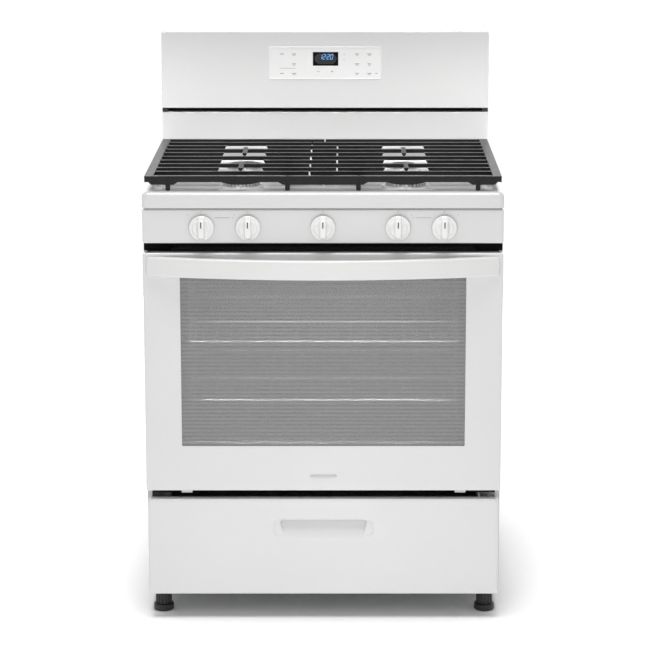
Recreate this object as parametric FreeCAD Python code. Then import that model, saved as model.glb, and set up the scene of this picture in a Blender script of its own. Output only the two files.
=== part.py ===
"""Freestanding gas range: cabinet, oven, cooktop, backguard, door, drawer, grates, racks and knobs.

Millimetres. +X is to the right seen from the front, +Y points to the back, +Z is up.
The origin is on the floor under the centre of the overall box.
"""
import FreeCAD
import Part
import math
import os

from FreeCAD import Vector

os.makedirs("parts", exist_ok=True)

# ---------------------------------------------------------------- driving dimensions
half_width = 379.5            # overall width is 759
front_y = -307.0              # outer face of the oven door
back_y = 359.0                # rear of the backguard
handle_front_y = -359.0       # foremost point of the bowed handle
cabinet_front_y = -262.0      # front of the cabinet behind the door and the drawer
cabinet_back_y = 345.0
sheet = 1.2                   # enamelled steel sheet
gap = 0.3                     # clearance between pieces of different bodies

cabinet_bottom = 50.0
frame_band_bottom = 803.0     # the dark front frame is full width above this
drawer_bottom = 55.0
drawer_top = 269.0
door_bottom = 288.0
door_top = 806.0
panel_bottom = 826.0
panel_top = 899.8
cooktop_bottom = 901.2
rim_top = 935.0
floor_top = 918.0             # recessed cooktop surface round the burners
pad_top = 924.0               # raised round pads that the burners stand on
guard_split_low = 1021.0      # dark vent slot in the backguard
guard_split_high = 1031.0
total_height = 1209.0

guard_front_y = 297.0
guard_back_y = 356.2          # rear edge of the backguard shells; cover and screws lie behind

# Oven cavity
cavity_half_width = 305.0
cavity_bottom = 290.0
cavity_top = 792.0
cavity_back_y = 240.0
oven_floor_z = 344.0
rack_levels = (469.0, 598.0)
guide_levels = (404.5, 469.0, 533.5, 598.0, 662.5)
rack_front_y = -237.0
rack_back_y = 218.0
rack_cross_y = -45.0
rack_wire = 3.2               # radius of the rack's frame wire
rack_half_width = 296.0
rack_pitch = 28.85            # between the thin wires

# Door
door_half_width = 378.5
door_inner_y = -268.0
window_half_width = 301.0
window_bottom = 387.0
window_top = 764.0
hinge_y = -287.0
hinge_z = 293.0
hinge_x = 293.0
hinge_pin_radius = 3.0
handle_half_width = 371.0
handle_bottom = 757.0
handle_top = 799.0
handle_thickness = 15.0

# Drawer
drawer_half_width = 376.0
drawer_face_y = -304.0
drawer_box_half_width = 336.0
drawer_box_back_y = 190.0
pull_half_width = 105.0
pull_bottom = 184.0
pull_top = 226.0

# Grates
grate_top = 966.0
grate_front_y = -286.0
grate_back_y = 242.0
grate_outer_x = 374.0
grate_bar_depths = (66.0, 116.0, 167.0, 218.0, 270.0, 323.0, 374.0, 424.0, 477.0)
grate_cut_rows = (1, 3, 5, 7)
grate_bar_height = 8.0
grate_bar_width = 10.0
grate_rail_height = 12.5
grate_foot_rail_height = 18.0
grate_rib_x = 75.0
grate_foot_xs = (74.4, 325.0)
grate_finger_reach = 27.5     # how far a finger reaches past the seam
grate_finger_gap = 3.0
grate_lap = 6.0               # tongue of one front rail behind the other
window_reach = 45.0           # half of the cut over each burner
stub_depths = ((109.0, 198.0), (316.0, 405.0))

# Burners: name, x, y, head radius, cap radius, cap top
burner_x = 177.0
front_burner_y = -142.0
rear_burner_y = 82.0
round_burners = (
    ("front_left", -burner_x, front_burner_y, 39.0, 37.0, 934.4),
    ("front_right", burner_x, front_burner_y, 43.0, 41.0, 934.4),
    ("rear_left", -burner_x, rear_burner_y, 38.0, 36.0, 934.4),
    ("rear_right", burner_x, rear_burner_y, 29.0, 27.0, 934.4),
)
oval_burner_y = -30.0
oval_half_length = 80.0
oval_radius = 25.0
oval_cap_top = 934.4
cap_thickness = 3.4

# Knobs and gas line
knob_xs = (-254.0, -157.0, 0.0, 157.0, 254.0)
knob_names = ("left_outer", "left_inner", "centre", "right_inner", "right_outer")
knob_z = 860.0
knob_radius = 26.0
panel_face_y = -304.0
stem_radius = 4.0
knob_push = 4.0
running = 0.05                # radial clearance of a running fit
manifold_y = -225.0
manifold_z = 852.0
manifold_radius = 10.0
valve_front_y = -271.0
inlet_radius = 10.67          # half inch pipe thread

# Levelling legs
leg_x = 350.0
leg_front_y = -240.0
leg_back_y = 305.0
leg_screw_radius = 5.0

X_AXIS = Vector(1, 0, 0)
Y_AXIS = Vector(0, 1, 0)
Z_AXIS = Vector(0, 0, 1)


# ---------------------------------------------------------------- helpers
def block(x, y, z):
    """A box from its low and high value along each axis."""
    corner = Vector(x[0], y[0], z[0])
    return Part.makeBox(x[1] - x[0], y[1] - y[0], z[1] - z[0], corner)


def rod(start, end, radius):
    """A round bar between two points."""
    first = Vector(*start)
    direction = Vector(*end).sub(first)
    return Part.makeCylinder(radius, direction.Length, first, direction)


def fuse(shapes):
    """One solid from shapes that touch or overlap."""
    if len(shapes) == 1:
        return shapes[0]
    return shapes[0].multiFuse(list(shapes[1:])).removeSplitter()


def group(shapes):
    """Separate solids kept together in one node."""
    solids = [solid for shape in shapes for solid in shape.Solids]
    return Part.makeCompound(solids)


def mirrored(shape):
    """The shape's twin on the other side of the middle plane."""
    return shape.mirror(Vector(0, 0, 0), X_AXIS)


def both_sides(shape):
    """The shape and its mirror image as separate solids."""
    return group([shape, mirrored(shape)])


def extrude_xz(points, low_y, high_y):
    """A closed outline in X and Z, extruded along Y."""
    corners = [Vector(x, low_y, z) for x, z in points]
    wire = Part.makePolygon(corners + corners[:1])
    return Part.Face(wire).extrude(Vector(0, high_y - low_y, 0))


def extrude_yz(points, low_x, high_x):
    """A closed outline in Y and Z, extruded along X."""
    corners = [Vector(low_x, y, z) for y, z in points]
    wire = Part.makePolygon(corners + corners[:1])
    return Part.Face(wire).extrude(Vector(high_x - low_x, 0, 0))


def edges_along(shape, axis, test):
    """Straight edges parallel to an axis whose middle point passes the test."""
    found = []
    for edge in shape.Edges:
        if len(edge.Vertexes) != 2:
            continue
        span = edge.Vertexes[1].Point.sub(edge.Vertexes[0].Point)
        if span.Length < 1e-6 or span.cross(axis).Length > 1e-4 * span.Length:
            continue
        middle = edge.Vertexes[0].Point.add(span.multiply(0.5))
        if test(middle):
            found.append(edge)
    return found


def round_edges(shape, radius, axis, test):
    """Fillet the straight edges that run along an axis and pass the test."""
    return shape.makeFillet(radius, edges_along(shape, axis, test))


def stadium(centre, half_length, radius, low_z, high_z):
    """An oval prism with round ends, long in Y."""
    x, y = centre
    middle = block((x - radius, x + radius), (y - half_length + radius, y + half_length - radius),
                   (low_z, high_z))
    ends = []
    for end_y in (y - half_length + radius, y + half_length - radius):
        ends.append(rod((x, end_y, low_z), (x, end_y, high_z), radius))
    return fuse([middle] + ends)


def pipe(points, radius, bend):
    """A round pipe through the points, with an arc of the given radius at each corner."""
    corners = [Vector(*point) for point in points]
    edges = []
    start = corners[0]
    for index in range(1, len(corners) - 1):
        corner = corners[index]
        to_before = corners[index - 1].sub(corner).normalize()
        to_after = corners[index + 1].sub(corner).normalize()
        half_angle = to_before.getAngle(to_after) / 2
        setback = bend / math.tan(half_angle)
        arc_start = corner.add(Vector(to_before).multiply(setback))
        arc_end = corner.add(Vector(to_after).multiply(setback))
        bisector = to_before.add(to_after).normalize()
        centre = corner.add(Vector(bisector).multiply(bend / math.sin(half_angle)))
        arc_middle = centre.sub(Vector(bisector).multiply(bend))
        edges.append(Part.LineSegment(start, arc_start).toShape())
        edges.append(Part.Arc(arc_start, arc_middle, arc_end).toShape())
        start = arc_end
    edges.append(Part.LineSegment(start, corners[-1]).toShape())
    path = Part.Wire(edges)
    direction = corners[1].sub(corners[0])
    profile = Part.Wire([Part.makeCircle(radius, corners[0], direction)])
    return path.makePipeShell([profile], True, False)


# ---------------------------------------------------------------- cabinet
def side_panel_left():
    """Enamelled side sheet with flanges folded in at the front and the back."""
    outer = (-half_width, -half_width + sheet)
    skin = block(outer, (cabinet_front_y, cabinet_back_y), (cabinet_bottom, panel_top))
    flange_x = (-half_width, -half_width + 10)
    front = block(flange_x, (cabinet_front_y, cabinet_front_y + sheet), (cabinet_bottom, panel_top))
    back = block(flange_x, (cabinet_back_y - sheet, cabinet_back_y), (cabinet_bottom, panel_top))
    foot = block(flange_x, (cabinet_front_y, cabinet_back_y), (cabinet_bottom, cabinet_bottom + sheet))
    frame_step = block((-half_width - 1, -half_width + 14), (cabinet_front_y - 1, cabinet_front_y + 6),
                       (frame_band_bottom, panel_top + 1))
    return fuse([skin, front, back, foot]).cut(frame_step)


def rear_panel():
    """Flat back sheet with a notch for the gas inlet and a row of vent slots."""
    sheet_y = (cabinet_back_y, cabinet_back_y + sheet)
    panel = block((-half_width + 2, half_width - 2), sheet_y, (cabinet_bottom + 6, panel_top))
    notch = block((250, 340), (cabinet_back_y - 5, cabinet_back_y + 5), (cabinet_bottom, 190))
    slots = []
    for row in range(5):
        for column in range(-4, 5):
            low_x = column * 60 - 18
            low_z = 600 + row * 14
            slots.append(block((low_x, low_x + 36), (cabinet_back_y - 5, cabinet_back_y + 5),
                               (low_z, low_z + 5)))
    return panel.cut(Part.makeCompound(slots + [notch]))


def base_frame():
    """Bottom rails and the four corner plates that the legs screw into."""
    rail_z = (56.0, 78.0)
    side_x = (half_width - 13.0, half_width - 10.0)
    pieces = [
        block(side_x, (cabinet_front_y + 2, cabinet_back_y - 2), rail_z),
        block((-side_x[1], -side_x[0]), (cabinet_front_y + 2, cabinet_back_y - 2), rail_z),
        block((-side_x[0], side_x[0]), (cabinet_front_y + 2, cabinet_front_y + 5), rail_z),
        block((-side_x[0], side_x[0]), (cabinet_back_y - 5, cabinet_back_y - 2), rail_z),
    ]
    for x in (-leg_x, leg_x):
        for y in (leg_front_y, leg_back_y):
            low_x = max(x - 22, -side_x[0])
            high_x = min(x + 22, side_x[0])
            low_y = max(y - 22, cabinet_front_y + 5)
            high_y = min(y + 22, cabinet_back_y - 5)
            plate = block((low_x, high_x), (low_y, high_y), (57.0, 62.0))
            hole = rod((x, y, 50), (x, y, 70), leg_screw_radius + running)
            pieces.append(plate.cut(hole))
    return group(pieces)


def front_frame():
    """Dark frame round the oven mouth, with holes for the door hinges."""
    frame_y = (cabinet_front_y, cabinet_front_y + 3)
    frame_x = half_width - 10.7
    frame = block((-frame_x, frame_x), frame_y, (272, panel_bottom - 1))
    band = block((-half_width + 0.2, half_width - 0.2), frame_y, (frame_band_bottom + 1, panel_bottom - 1))
    frame = fuse([frame, band])
    mouth_x = cavity_half_width + sheet
    mouth = block((-mouth_x, mouth_x), (frame_y[0] - 1, frame_y[1] + 1),
                  (cavity_bottom - sheet, cavity_top + sheet))
    return frame.cut(mouth)


def oven_liner():
    """Five-sided enamelled box, open at the front."""
    outer_x = cavity_half_width + sheet
    outer = block((-outer_x, outer_x), (cabinet_front_y, cavity_back_y + sheet),
                  (cavity_bottom - sheet, cavity_top + sheet))
    inner = block((-cavity_half_width, cavity_half_width), (cabinet_front_y - 1, cavity_back_y),
                  (cavity_bottom, cavity_top))
    inner = round_edges(inner, 12, Y_AXIS, lambda point: True)
    back_y_span = (cavity_back_y - 5, cavity_back_y + 5)
    burner_holes = [
        rod((0, back_y_span[0], 316), (0, back_y_span[1], 316), 12.3),
        rod((0, back_y_span[0], 764), (0, back_y_span[1], 764), 10.3),
        rod((-210, back_y_span[0], 730), (-210, back_y_span[1], 730), 20.3),
    ]
    return outer.cut(inner).cut(Part.makeCompound(burner_holes))


def oven_insulation():
    """Mineral wool blanket over the top, sides and back of the liner."""
    inner_x = cavity_half_width + sheet
    thickness = 30.0
    low_z = cavity_bottom - sheet
    high_z = panel_bottom - 3.0
    start_y = cabinet_front_y + 3.5
    back = (cavity_back_y + sheet, cavity_back_y + sheet + thickness)
    side = block((inner_x, inner_x + thickness), (start_y, back[1]), (low_z, high_z))
    top = block((-inner_x, inner_x), (start_y, back[1]), (cavity_top + sheet, high_z))
    rear = block((-inner_x, inner_x), back, (low_z, cavity_top + sheet))
    passages = [
        rod((0, back[0] - 5, 316), (0, back[1] + 5, 316), 14),
        rod((0, back[0] - 5, 764), (0, back[1] + 5, 764), 12),
        rod((-210, back[0] - 5, 730), (-210, back[1] + 5, 730), 22),
    ]
    rear = rear.cut(Part.makeCompound(passages))
    return group([side, mirrored(side), top, rear])


def oven_floor():
    """Lift-out bottom plate standing on its folded sides, slotted for the bake burner's heat."""
    half = cavity_half_width - 14
    depth = (cabinet_front_y + 10, cavity_back_y - 6)
    plate = block((-half, half), depth, (oven_floor_z, oven_floor_z + sheet))
    left = block((-half, -half + sheet), depth, (cavity_bottom, oven_floor_z))
    right = block((half - sheet, half), depth, (cavity_bottom, oven_floor_z))
    slots = []
    for side in (-1, 1):
        for index in range(7):
            low_y = -205 + index * 62
            x_pair = sorted((side * 255, side * 265))
            slots.append(block(x_pair, (low_y, low_y + 44), (oven_floor_z - 1, oven_floor_z + 5)))
    return fuse([plate, left, right]).cut(Part.makeCompound(slots))


def rack_guides():
    """Wire ladders on both oven walls that carry the racks."""
    wire = 2.5
    post_x = cavity_half_width - wire - 0.1
    shelf_x = rack_half_width
    pieces = []
    for y in (-190.0, 0.0, 190.0):
        pieces.append(rod((post_x, y, oven_floor_z + 10), (post_x, y, 710), wire))
    for level in guide_levels:
        rail_z = level - rack_wire - wire - gap
        pieces.append(rod((shelf_x, -225, rail_z), (shelf_x, 226, rail_z), wire))
        for y in (-190.0, 0.0, 190.0):
            pieces.append(rod((shelf_x, y, rail_z), (post_x, y, rail_z), wire * 0.8))
    return both_sides(fuse(pieces))


def door_gasket():
    """Woven seal round the oven mouth."""
    seal_y = (door_inner_y + gap, cabinet_front_y)
    outer = block((-330, 330), seal_y, (300, 812))
    outer = round_edges(outer, 24, Y_AXIS, lambda point: True)
    inner = block((-320, 320), (seal_y[0] - 1, seal_y[1] + 1), (310, 802))
    inner = round_edges(inner, 16, Y_AXIS, lambda point: True)
    return outer.cut(inner)


def bake_burner():
    """Straight tube burner under the oven floor, on two saddles."""
    tube = rod((0, -190, 316), (0, cavity_back_y + 30, 316), 12)
    saddles = []
    for y in (-150.0, 150.0):
        saddles.append(block((-16, 16), (y - 3, y + 3), (cavity_bottom, 312)))
    spreader = block((-70, 70), (-170, 170), (329.0, 330.2))
    stand = block((-3, 3), (-160, 160), (320, 330))
    return fuse([tube, spreader, stand] + saddles)


def broil_burner():
    """Tube burner with a reflector plate, hung under the oven roof."""
    tube = rod((0, -180, 764), (0, cavity_back_y + 30, 764), 10)
    plate = block((-110, 110), (-190, 190), (777, 778.2))
    web = block((-3, 3), (-170, 170), (768, 777.5))
    hangers = []
    for x in (-90.0, 90.0):
        for y in (-150.0, 150.0):
            hangers.append(block((x - 6, x + 6), (y - 1, y + 1), (778, cavity_top)))
    return fuse([tube, plate, web] + hangers)


def oven_lamp():
    """Glass-domed lamp in the back wall of the oven."""
    socket = rod((-210, cavity_back_y, 730), (-210, cavity_back_y + 34, 730), 20)
    dome = Part.makeSphere(24, Vector(-210, cavity_back_y, 730), Y_AXIS.negative(), 0, 90, 360)
    return fuse([socket, dome])


def hinge_receivers():
    """Tongues that carry the door's pivot pins, one at each lower corner of the oven."""
    half = 11.5
    tongue = block((hinge_x - half, hinge_x + half), (hinge_y - 3, cabinet_front_y), (277.8, 299.0))
    tongue = round_edges(tongue, 5, X_AXIS, lambda point: point.y < hinge_y + 1)
    pin = rod((hinge_x - half - 7, hinge_y, hinge_z), (hinge_x + half + 7, hinge_y, hinge_z),
              hinge_pin_radius)
    return both_sides(fuse([tongue, pin]))


def drawer_rails():
    """Steel runners on the cabinet sides under the oven."""
    outer_x = half_width - 13.0
    web = block((outer_x - 2, outer_x), (cabinet_front_y + 6, 260), (84, 120))
    ledge = block((drawer_box_half_width + 2, outer_x - 2), (cabinet_front_y + 6, 260), (84, 86))
    return both_sides(fuse([web, ledge]))


def cabinet_screws():
    """Pan-head screws that hold the rear panel, the backguard cover and the cooktop."""
    screws = []
    back = cabinet_back_y + sheet
    for x in (-362.0, -180.0, 0.0, 180.0, 362.0):
        for z in (110.0, 500.0, 845.0):
            if abs(x) < 200 and z == 500.0:
                continue
            screws.append(rod((x, back, z), (x, back + 2.4, z), 4.5))
    for x in (-362.0, 0.0, 362.0):
        for z in (1000.0, 1190.0):
            screws.append(rod((x, guard_back_y + sheet, z), (x, back_y, z), 4.5))
    return group(screws)


# ---------------------------------------------------------------- cooktop and gas system
def cooktop():
    """Pressed top with a rounded lip and a recess, with a raised pad and a hole per burner."""
    span_y = (-306.0, cabinet_back_y)
    top = block((-half_width, half_width), span_y, (cooktop_bottom, rim_top))
    top = round_edges(top, 12, Z_AXIS, lambda point: point.y < 0)
    upper = [edge for edge in top.Edges
             if edge.BoundBox.ZMin > rim_top - 0.1 and edge.BoundBox.YMin < cabinet_back_y - 0.1]
    top = top.makeFillet(11.5, upper)
    recess = block((-349, 349), (-271, 226), (floor_top, rim_top + 10))
    recess = round_edges(recess, 20, Z_AXIS, lambda point: True)
    foot_edges = [edge for edge in recess.Edges if edge.BoundBox.ZMax < floor_top + 0.1]
    recess = recess.makeFillet(7, foot_edges)
    top = top.cut(recess)
    pads = [Part.makeCone(radius + 11, radius + 8, pad_top - floor_top + 1,
                          Vector(x, y, floor_top - 1), Z_AXIS)
            for _, x, y, radius, _, _ in round_burners]
    top = fuse([top] + pads)
    wall = 2.0
    under = block((-half_width + wall, half_width - wall), (span_y[0] + wall, span_y[1] - wall),
                  (cooktop_bottom - 1, floor_top - wall))
    under = round_edges(under, 11, Z_AXIS, lambda point: point.y < 0)
    under_edges = [edge for edge in under.Edges if edge.BoundBox.ZMin > floor_top - wall - 0.1]
    under = under.makeFillet(3.5, under_edges)
    front_hollow = block((-half_width + 14, half_width - 14), (span_y[0] + 6, -277),
                         (cooktop_bottom - 1, rim_top - 8))
    holes = [rod((x, y, 900), (x, y, 940), 24.3) for _, x, y, _, _, _ in round_burners]
    holes.append(stadium((0, oval_burner_y), 60.3, 16.3, 900, 940))
    return top.cut(under).cut(front_hollow).cut(Part.makeCompound(holes))


def ported_ring(centre, radius, low_z, high_z, ports):
    """A burner ring with radial flame slots cut in its upper edge."""
    x, y = centre
    ring = rod((x, y, low_z), (x, y, high_z), radius)
    slot_box = block((radius - 6, radius + 2), (-1.1, 1.1), (high_z - 5.5, high_z + 1))
    slots = []
    for index in range(ports):
        slot = slot_box.copy()
        slot.rotate(Vector(0, 0, 0), Z_AXIS, index * 360 / ports)
        slot.translate(Vector(x, y, 0))
        slots.append(slot)
    return ring.cut(Part.makeCompound(slots))


def burner_heads():
    """Aluminium burner bodies: mixing cup under the cooktop and ported ring above it."""
    heads = []
    for _, x, y, radius, _, cap_top in round_burners:
        cup = rod((x, y, 880), (x, y, pad_top + 2), 24)
        flange = Part.makeCone(radius + 2, radius + 1, 1.5, Vector(x, y, pad_top + gap), Z_AXIS)
        ring = ported_ring((x, y), radius, pad_top + 0.5, cap_top - cap_thickness, 30)
        throat = rod((x, y, 870), (x, y, 940), 11)
        heads.append(fuse([cup, flange, ring]).cut(throat))
    cup = stadium((0, oval_burner_y), 60, 16, 880, floor_top + 2)
    body = stadium((0, oval_burner_y), oval_half_length, oval_radius, floor_top + gap,
                   oval_cap_top - cap_thickness)
    throat = rod((0, oval_burner_y, 870), (0, oval_burner_y, 935), 10)
    heads.append(fuse([cup, body]).cut(throat))
    return group(heads)


def burner_caps():
    """Enamelled iron caps that rest on the burner heads."""
    caps = []
    for _, x, y, _, radius, cap_top in round_burners:
        cap = rod((x, y, cap_top - cap_thickness), (x, y, cap_top), radius)
        upper = [edge for edge in cap.Edges if edge.BoundBox.ZMin > cap_top - 0.1]
        caps.append(cap.makeFillet(2.0, upper))
    oval = stadium((0, oval_burner_y), oval_half_length - 3, oval_radius - 3,
                   oval_cap_top - cap_thickness, oval_cap_top)
    upper = [edge for edge in oval.Edges if edge.BoundBox.ZMin > oval_cap_top - 0.1]
    caps.append(oval.makeFillet(2.0, upper))
    return group(caps)


def spark_igniters():
    """Ceramic igniter pins standing in front of the burner heads."""
    pins = []
    places = [(x, y - radius - 5.2, pad_top) for _, x, y, radius, _, _ in round_burners]
    places.append((0, oval_burner_y - oval_half_length - 6, floor_top))
    for x, y, base in places:
        ceramic = rod((x, y, base), (x, y, 930), 2.6)
        electrode = rod((x, y, 930), (x, y, 933), 1.2)
        pins.append(fuse([ceramic, electrode]))
    return group(pins)


def gas_manifold():
    """Front supply rail and the pipe that runs back and down to the regulator."""
    rail = rod((-300, manifold_y, manifold_z), (300, manifold_y, manifold_z), manifold_radius)
    supply_x = 356.0
    supply = pipe([(300, manifold_y, manifold_z), (supply_x, manifold_y, manifold_z),
                   (supply_x, 300, manifold_z), (supply_x, 300, 260), (295, 300, 260),
                   (295, 300, 186)], 7, 18)
    return group([rail, supply])


def gas_valves():
    """Brass valve bodies clamped to the supply rail."""
    valves = []
    for x in knob_xs:
        body = block((x - 14, x + 14), (valve_front_y + 4, manifold_y - manifold_radius),
                     (knob_z - 16, knob_z + 14))
        body = round_edges(body, 5, Y_AXIS, lambda point: True)
        neck = rod((x, valve_front_y, knob_z), (x, valve_front_y + 8, knob_z), 9)
        bore = rod((x, valve_front_y - 1, knob_z), (x, valve_front_y + 20, knob_z),
                   stem_radius + running)
        valves.append(fuse([body, neck]).cut(bore))
    return group(valves)


def burner_tubes():
    """Aluminium tubes from each valve to its burner."""
    tubes = []
    tube_z = 890.0
    start_y = -248.0
    start_z = knob_z + 14
    targets = (
        (-254.0, -burner_x, rear_burner_y),
        (-157.0, -burner_x, front_burner_y),
        (157.0, burner_x, front_burner_y),
        (254.0, burner_x, rear_burner_y),
    )
    cup_radius = 24.0
    for valve_x, target_x, target_y in targets:
        rise = [(valve_x, start_y, start_z), (valve_x, start_y, tube_z)]
        if target_y == front_burner_y:
            run = [(valve_x, -222, tube_z), (target_x, -192, tube_z),
                   (target_x, target_y - cup_radius, tube_z)]
        else:
            side = 1 if target_x > valve_x else -1
            run = [(valve_x, target_y, tube_z), (target_x - side * cup_radius, target_y, tube_z)]
        tubes.append(pipe(rise + run, 3.5, 8))
    tubes.append(pipe([(0, start_y, start_z), (0, start_y, tube_z),
                       (0, oval_burner_y - 60, tube_z)], 3.5, 8))
    return group(tubes)


def pressure_regulator():
    """Regulator low at the rear right, with its threaded inlet pointing back."""
    body = block((270, 320), (275, 325), (130, 178))
    body = round_edges(body, 8, Z_AXIS, lambda point: True)
    dome = rod((295, 300, 178), (295, 300, 186), 20)
    inlet = rod((295, 325, 154), (295, 356, 154), inlet_radius)
    outlet_bore = rod((295, 300, 180), (295, 300, 187), 7)
    stand = block((290, 300), (290, 310), (62.5, 130))
    shelf = block((240, 328), (284, 316), (62.2, 64))
    return fuse([body, dome, inlet, stand, shelf]).cut(outlet_bore.common(dome))


def power_inlet():
    """Strain relief bushing for the supply cord, without the cord."""
    y = cabinet_back_y + sheet
    flange = rod((-300, y, 230), (-300, y + 3, 230), 16)
    nose = Part.makeCone(12, 9, 9, Vector(-300, y + 3, 230), Y_AXIS)
    bore = rod((-300, y + 1, 230), (-300, y + 13, 230), 5)
    return fuse([flange, nose]).cut(bore)


def control_panel():
    """Folded front panel behind the knobs."""
    outer = block((-378.8, 378.8), (panel_face_y, cabinet_front_y - 0.5), (panel_bottom, panel_top))
    outer = round_edges(outer, 5, X_AXIS, lambda point: point.y < panel_face_y + 1)
    outer = round_edges(outer, 6, Z_AXIS, lambda point: point.y < panel_face_y + 1)
    inner = block((-378.8 + sheet, 378.8 - sheet), (panel_face_y + sheet, cabinet_front_y + 5),
                  (panel_bottom + sheet, panel_top - sheet))
    inner = round_edges(inner, 4, X_AXIS, lambda point: point.y < panel_face_y + 2)
    inner = round_edges(inner, 4.8, Z_AXIS, lambda point: point.y < panel_face_y + 2)
    holes = [rod((x, panel_face_y - 2, knob_z), (x, panel_face_y + 4, knob_z), 7) for x in knob_xs]
    return outer.cut(inner).cut(Part.makeCompound(holes))


# ---------------------------------------------------------------- backguard
def backguard_panel():
    """Lower part of the backguard, standing on the cooktop."""
    front = guard_front_y + 4
    outer = block((-half_width + 0.5, half_width - 0.5), (front, guard_back_y),
                  (rim_top + 0.2, guard_split_low))
    outer = round_edges(outer, 4, Z_AXIS, lambda point: point.y < front + 1)
    outer = round_edges(outer, 3, X_AXIS, lambda point: point.y < front + 1 and point.z > 1000)
    inner = block((-half_width + 2, half_width - 2), (front + sheet, back_y + 5),
                  (rim_top - 1, guard_split_low - sheet))
    return outer.cut(inner)


def console_panel():
    """Upper backguard shell that leans back slightly and holds the clock and keypad."""
    lean = 6.0
    front = guard_front_y
    outline = [(front, guard_split_high), (front + lean, total_height),
               (guard_back_y, total_height), (guard_back_y, guard_split_high)]
    outer = extrude_yz(outline, -half_width, half_width)
    outer = round_edges(outer, 8, Y_AXIS, lambda point: point.z > total_height - 1)
    edges = [edge for edge in outer.Edges
             if edge.BoundBox.YMax < front + lean + 0.2 and edge.BoundBox.ZMax > guard_split_high + 1]
    outer = outer.makeFillet(4, edges)
    inner_outline = [(front + 2, guard_split_high + 2), (front + lean + 2, total_height - 2),
                     (back_y + 5, total_height - 2), (back_y + 5, guard_split_high + 2)]
    inner = extrude_yz(inner_outline, -half_width + 2, half_width - 2)
    inner = round_edges(inner, 6, Y_AXIS, lambda point: point.z > total_height - 3)
    window = block((-28.5, 30.5), (front - 2, front + 12), (1128.5, 1160.5))
    return outer.cut(inner).cut(window)


def lean_at(z):
    """Y of the console's front face at a height."""
    return guard_front_y + 6.0 * (z - guard_split_high) / (total_height - guard_split_high)


def console_slab(low_x, high_x, low_z, high_z, proud, depth):
    """A plate lying on the leaning console face; proud is how far it stands out."""
    outline = [(lean_at(low_z) - proud, low_z), (lean_at(high_z) - proud, high_z),
               (lean_at(high_z) - proud + depth, high_z), (lean_at(low_z) - proud + depth, low_z)]
    return extrude_yz(outline, low_x, high_x)


def key_membrane():
    """Keypad film with a raised edge, glued on the console face round the display."""
    film = console_slab(-129, 129, 1099, 1171, 0.8, 0.8)
    hole = block((-28.5, 30.5), (280, 320), (1128.5, 1160.5))
    return film.cut(hole)


def display_window():
    """Dark display lens set through the console face."""
    return console_slab(-28.2, 30.2, 1128.8, 1160.2, 0.6, 5)


def control_board():
    """Electronic range control behind the display."""
    board = block((-110, 110), (312, 314), (1102, 1168))
    display = block((-26, 28), (306.5, 312), (1131, 1158))
    relays = [block((x, x + 22), (314, 330), (1110, 1130)) for x in (-90.0, -50.0, -10.0, 30.0, 70.0)]
    posts = [rod((x, 314, z), (x, guard_back_y, z), 3) for x in (-105.0, 105.0) for z in (1108.0, 1162.0)]
    return group([fuse([board, display] + relays + posts)])


def vent_strip():
    """Dark slotted strip between the two backguard panels, where the oven breathes."""
    front = guard_front_y + 5
    strip = block((-half_width + 0.7, half_width - 0.7), (front, guard_back_y),
                  (guard_split_low, guard_split_high))
    mouth = block((-366, 366), (front - 5, 334), (guard_split_low + 2, guard_split_high - 2))
    fins = []
    for index in range(-14, 15):
        fins.append(block((index * 25 - 1.5, index * 25 + 1.5), (326, 334),
                          (guard_split_low + 2, guard_split_high - 2)))
    return fuse([strip.cut(mouth)] + fins)


def backguard_cover():
    """Rear sheet that closes the backguard, with cooling slots."""
    cover = block((-half_width + 2.2, half_width - 2.2), (guard_back_y, guard_back_y + sheet),
                  (905, 1200))
    slots = []
    for row in range(4):
        for column in range(-5, 6):
            low_x = column * 50 - 14
            low_z = 1085 + row * 13
            slots.append(block((low_x, low_x + 28), (back_y - 5, back_y + 5), (low_z, low_z + 5)))
    return cover.cut(Part.makeCompound(slots))


# ---------------------------------------------------------------- door
def hinge_notches(low_y, high_y, reach):
    """Clear space in the door's lower edge for the hinge tongues."""
    notch = block((hinge_x - reach, hinge_x + reach), (low_y, high_y), (door_bottom - 5, 318))
    return Part.makeCompound([notch, mirrored(notch)])


def door_panel():
    """White outer skin, folded back at its edges, with the window opening."""
    skin_back_y = -289.0
    outer = block((-door_half_width, door_half_width), (front_y, skin_back_y), (door_bottom, door_top))
    outer = round_edges(outer, 5, Y_AXIS, lambda point: True)
    edges = [edge for edge in outer.Edges if edge.BoundBox.YMax < front_y + 0.1]
    outer = outer.makeFillet(4.5, edges)
    wall = 1.6
    inner = block((-door_half_width + wall, door_half_width - wall), (front_y + wall, skin_back_y + 5),
                  (door_bottom + wall, door_top - wall))
    inner = round_edges(inner, 3.5, Y_AXIS, lambda point: True)
    edges = [edge for edge in inner.Edges if edge.BoundBox.YMax < front_y + wall + 0.1]
    inner = inner.makeFillet(3.0, edges)
    window = block((-window_half_width, window_half_width), (front_y - 5, front_y + 5),
                   (window_bottom, window_top))
    window = round_edges(window, 3, Y_AXIS, lambda point: True)
    return outer.cut(inner).cut(window).cut(hinge_notches(-303.5, skin_back_y + 5, 13.0))


def door_glass():
    """Outer window glass, clamped behind the skin."""
    glass_y = (front_y + 1.6, front_y + 5.6)
    return block((-window_half_width - 14, window_half_width + 14), glass_y,
                 (window_bottom - 14, window_top + 12))


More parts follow.
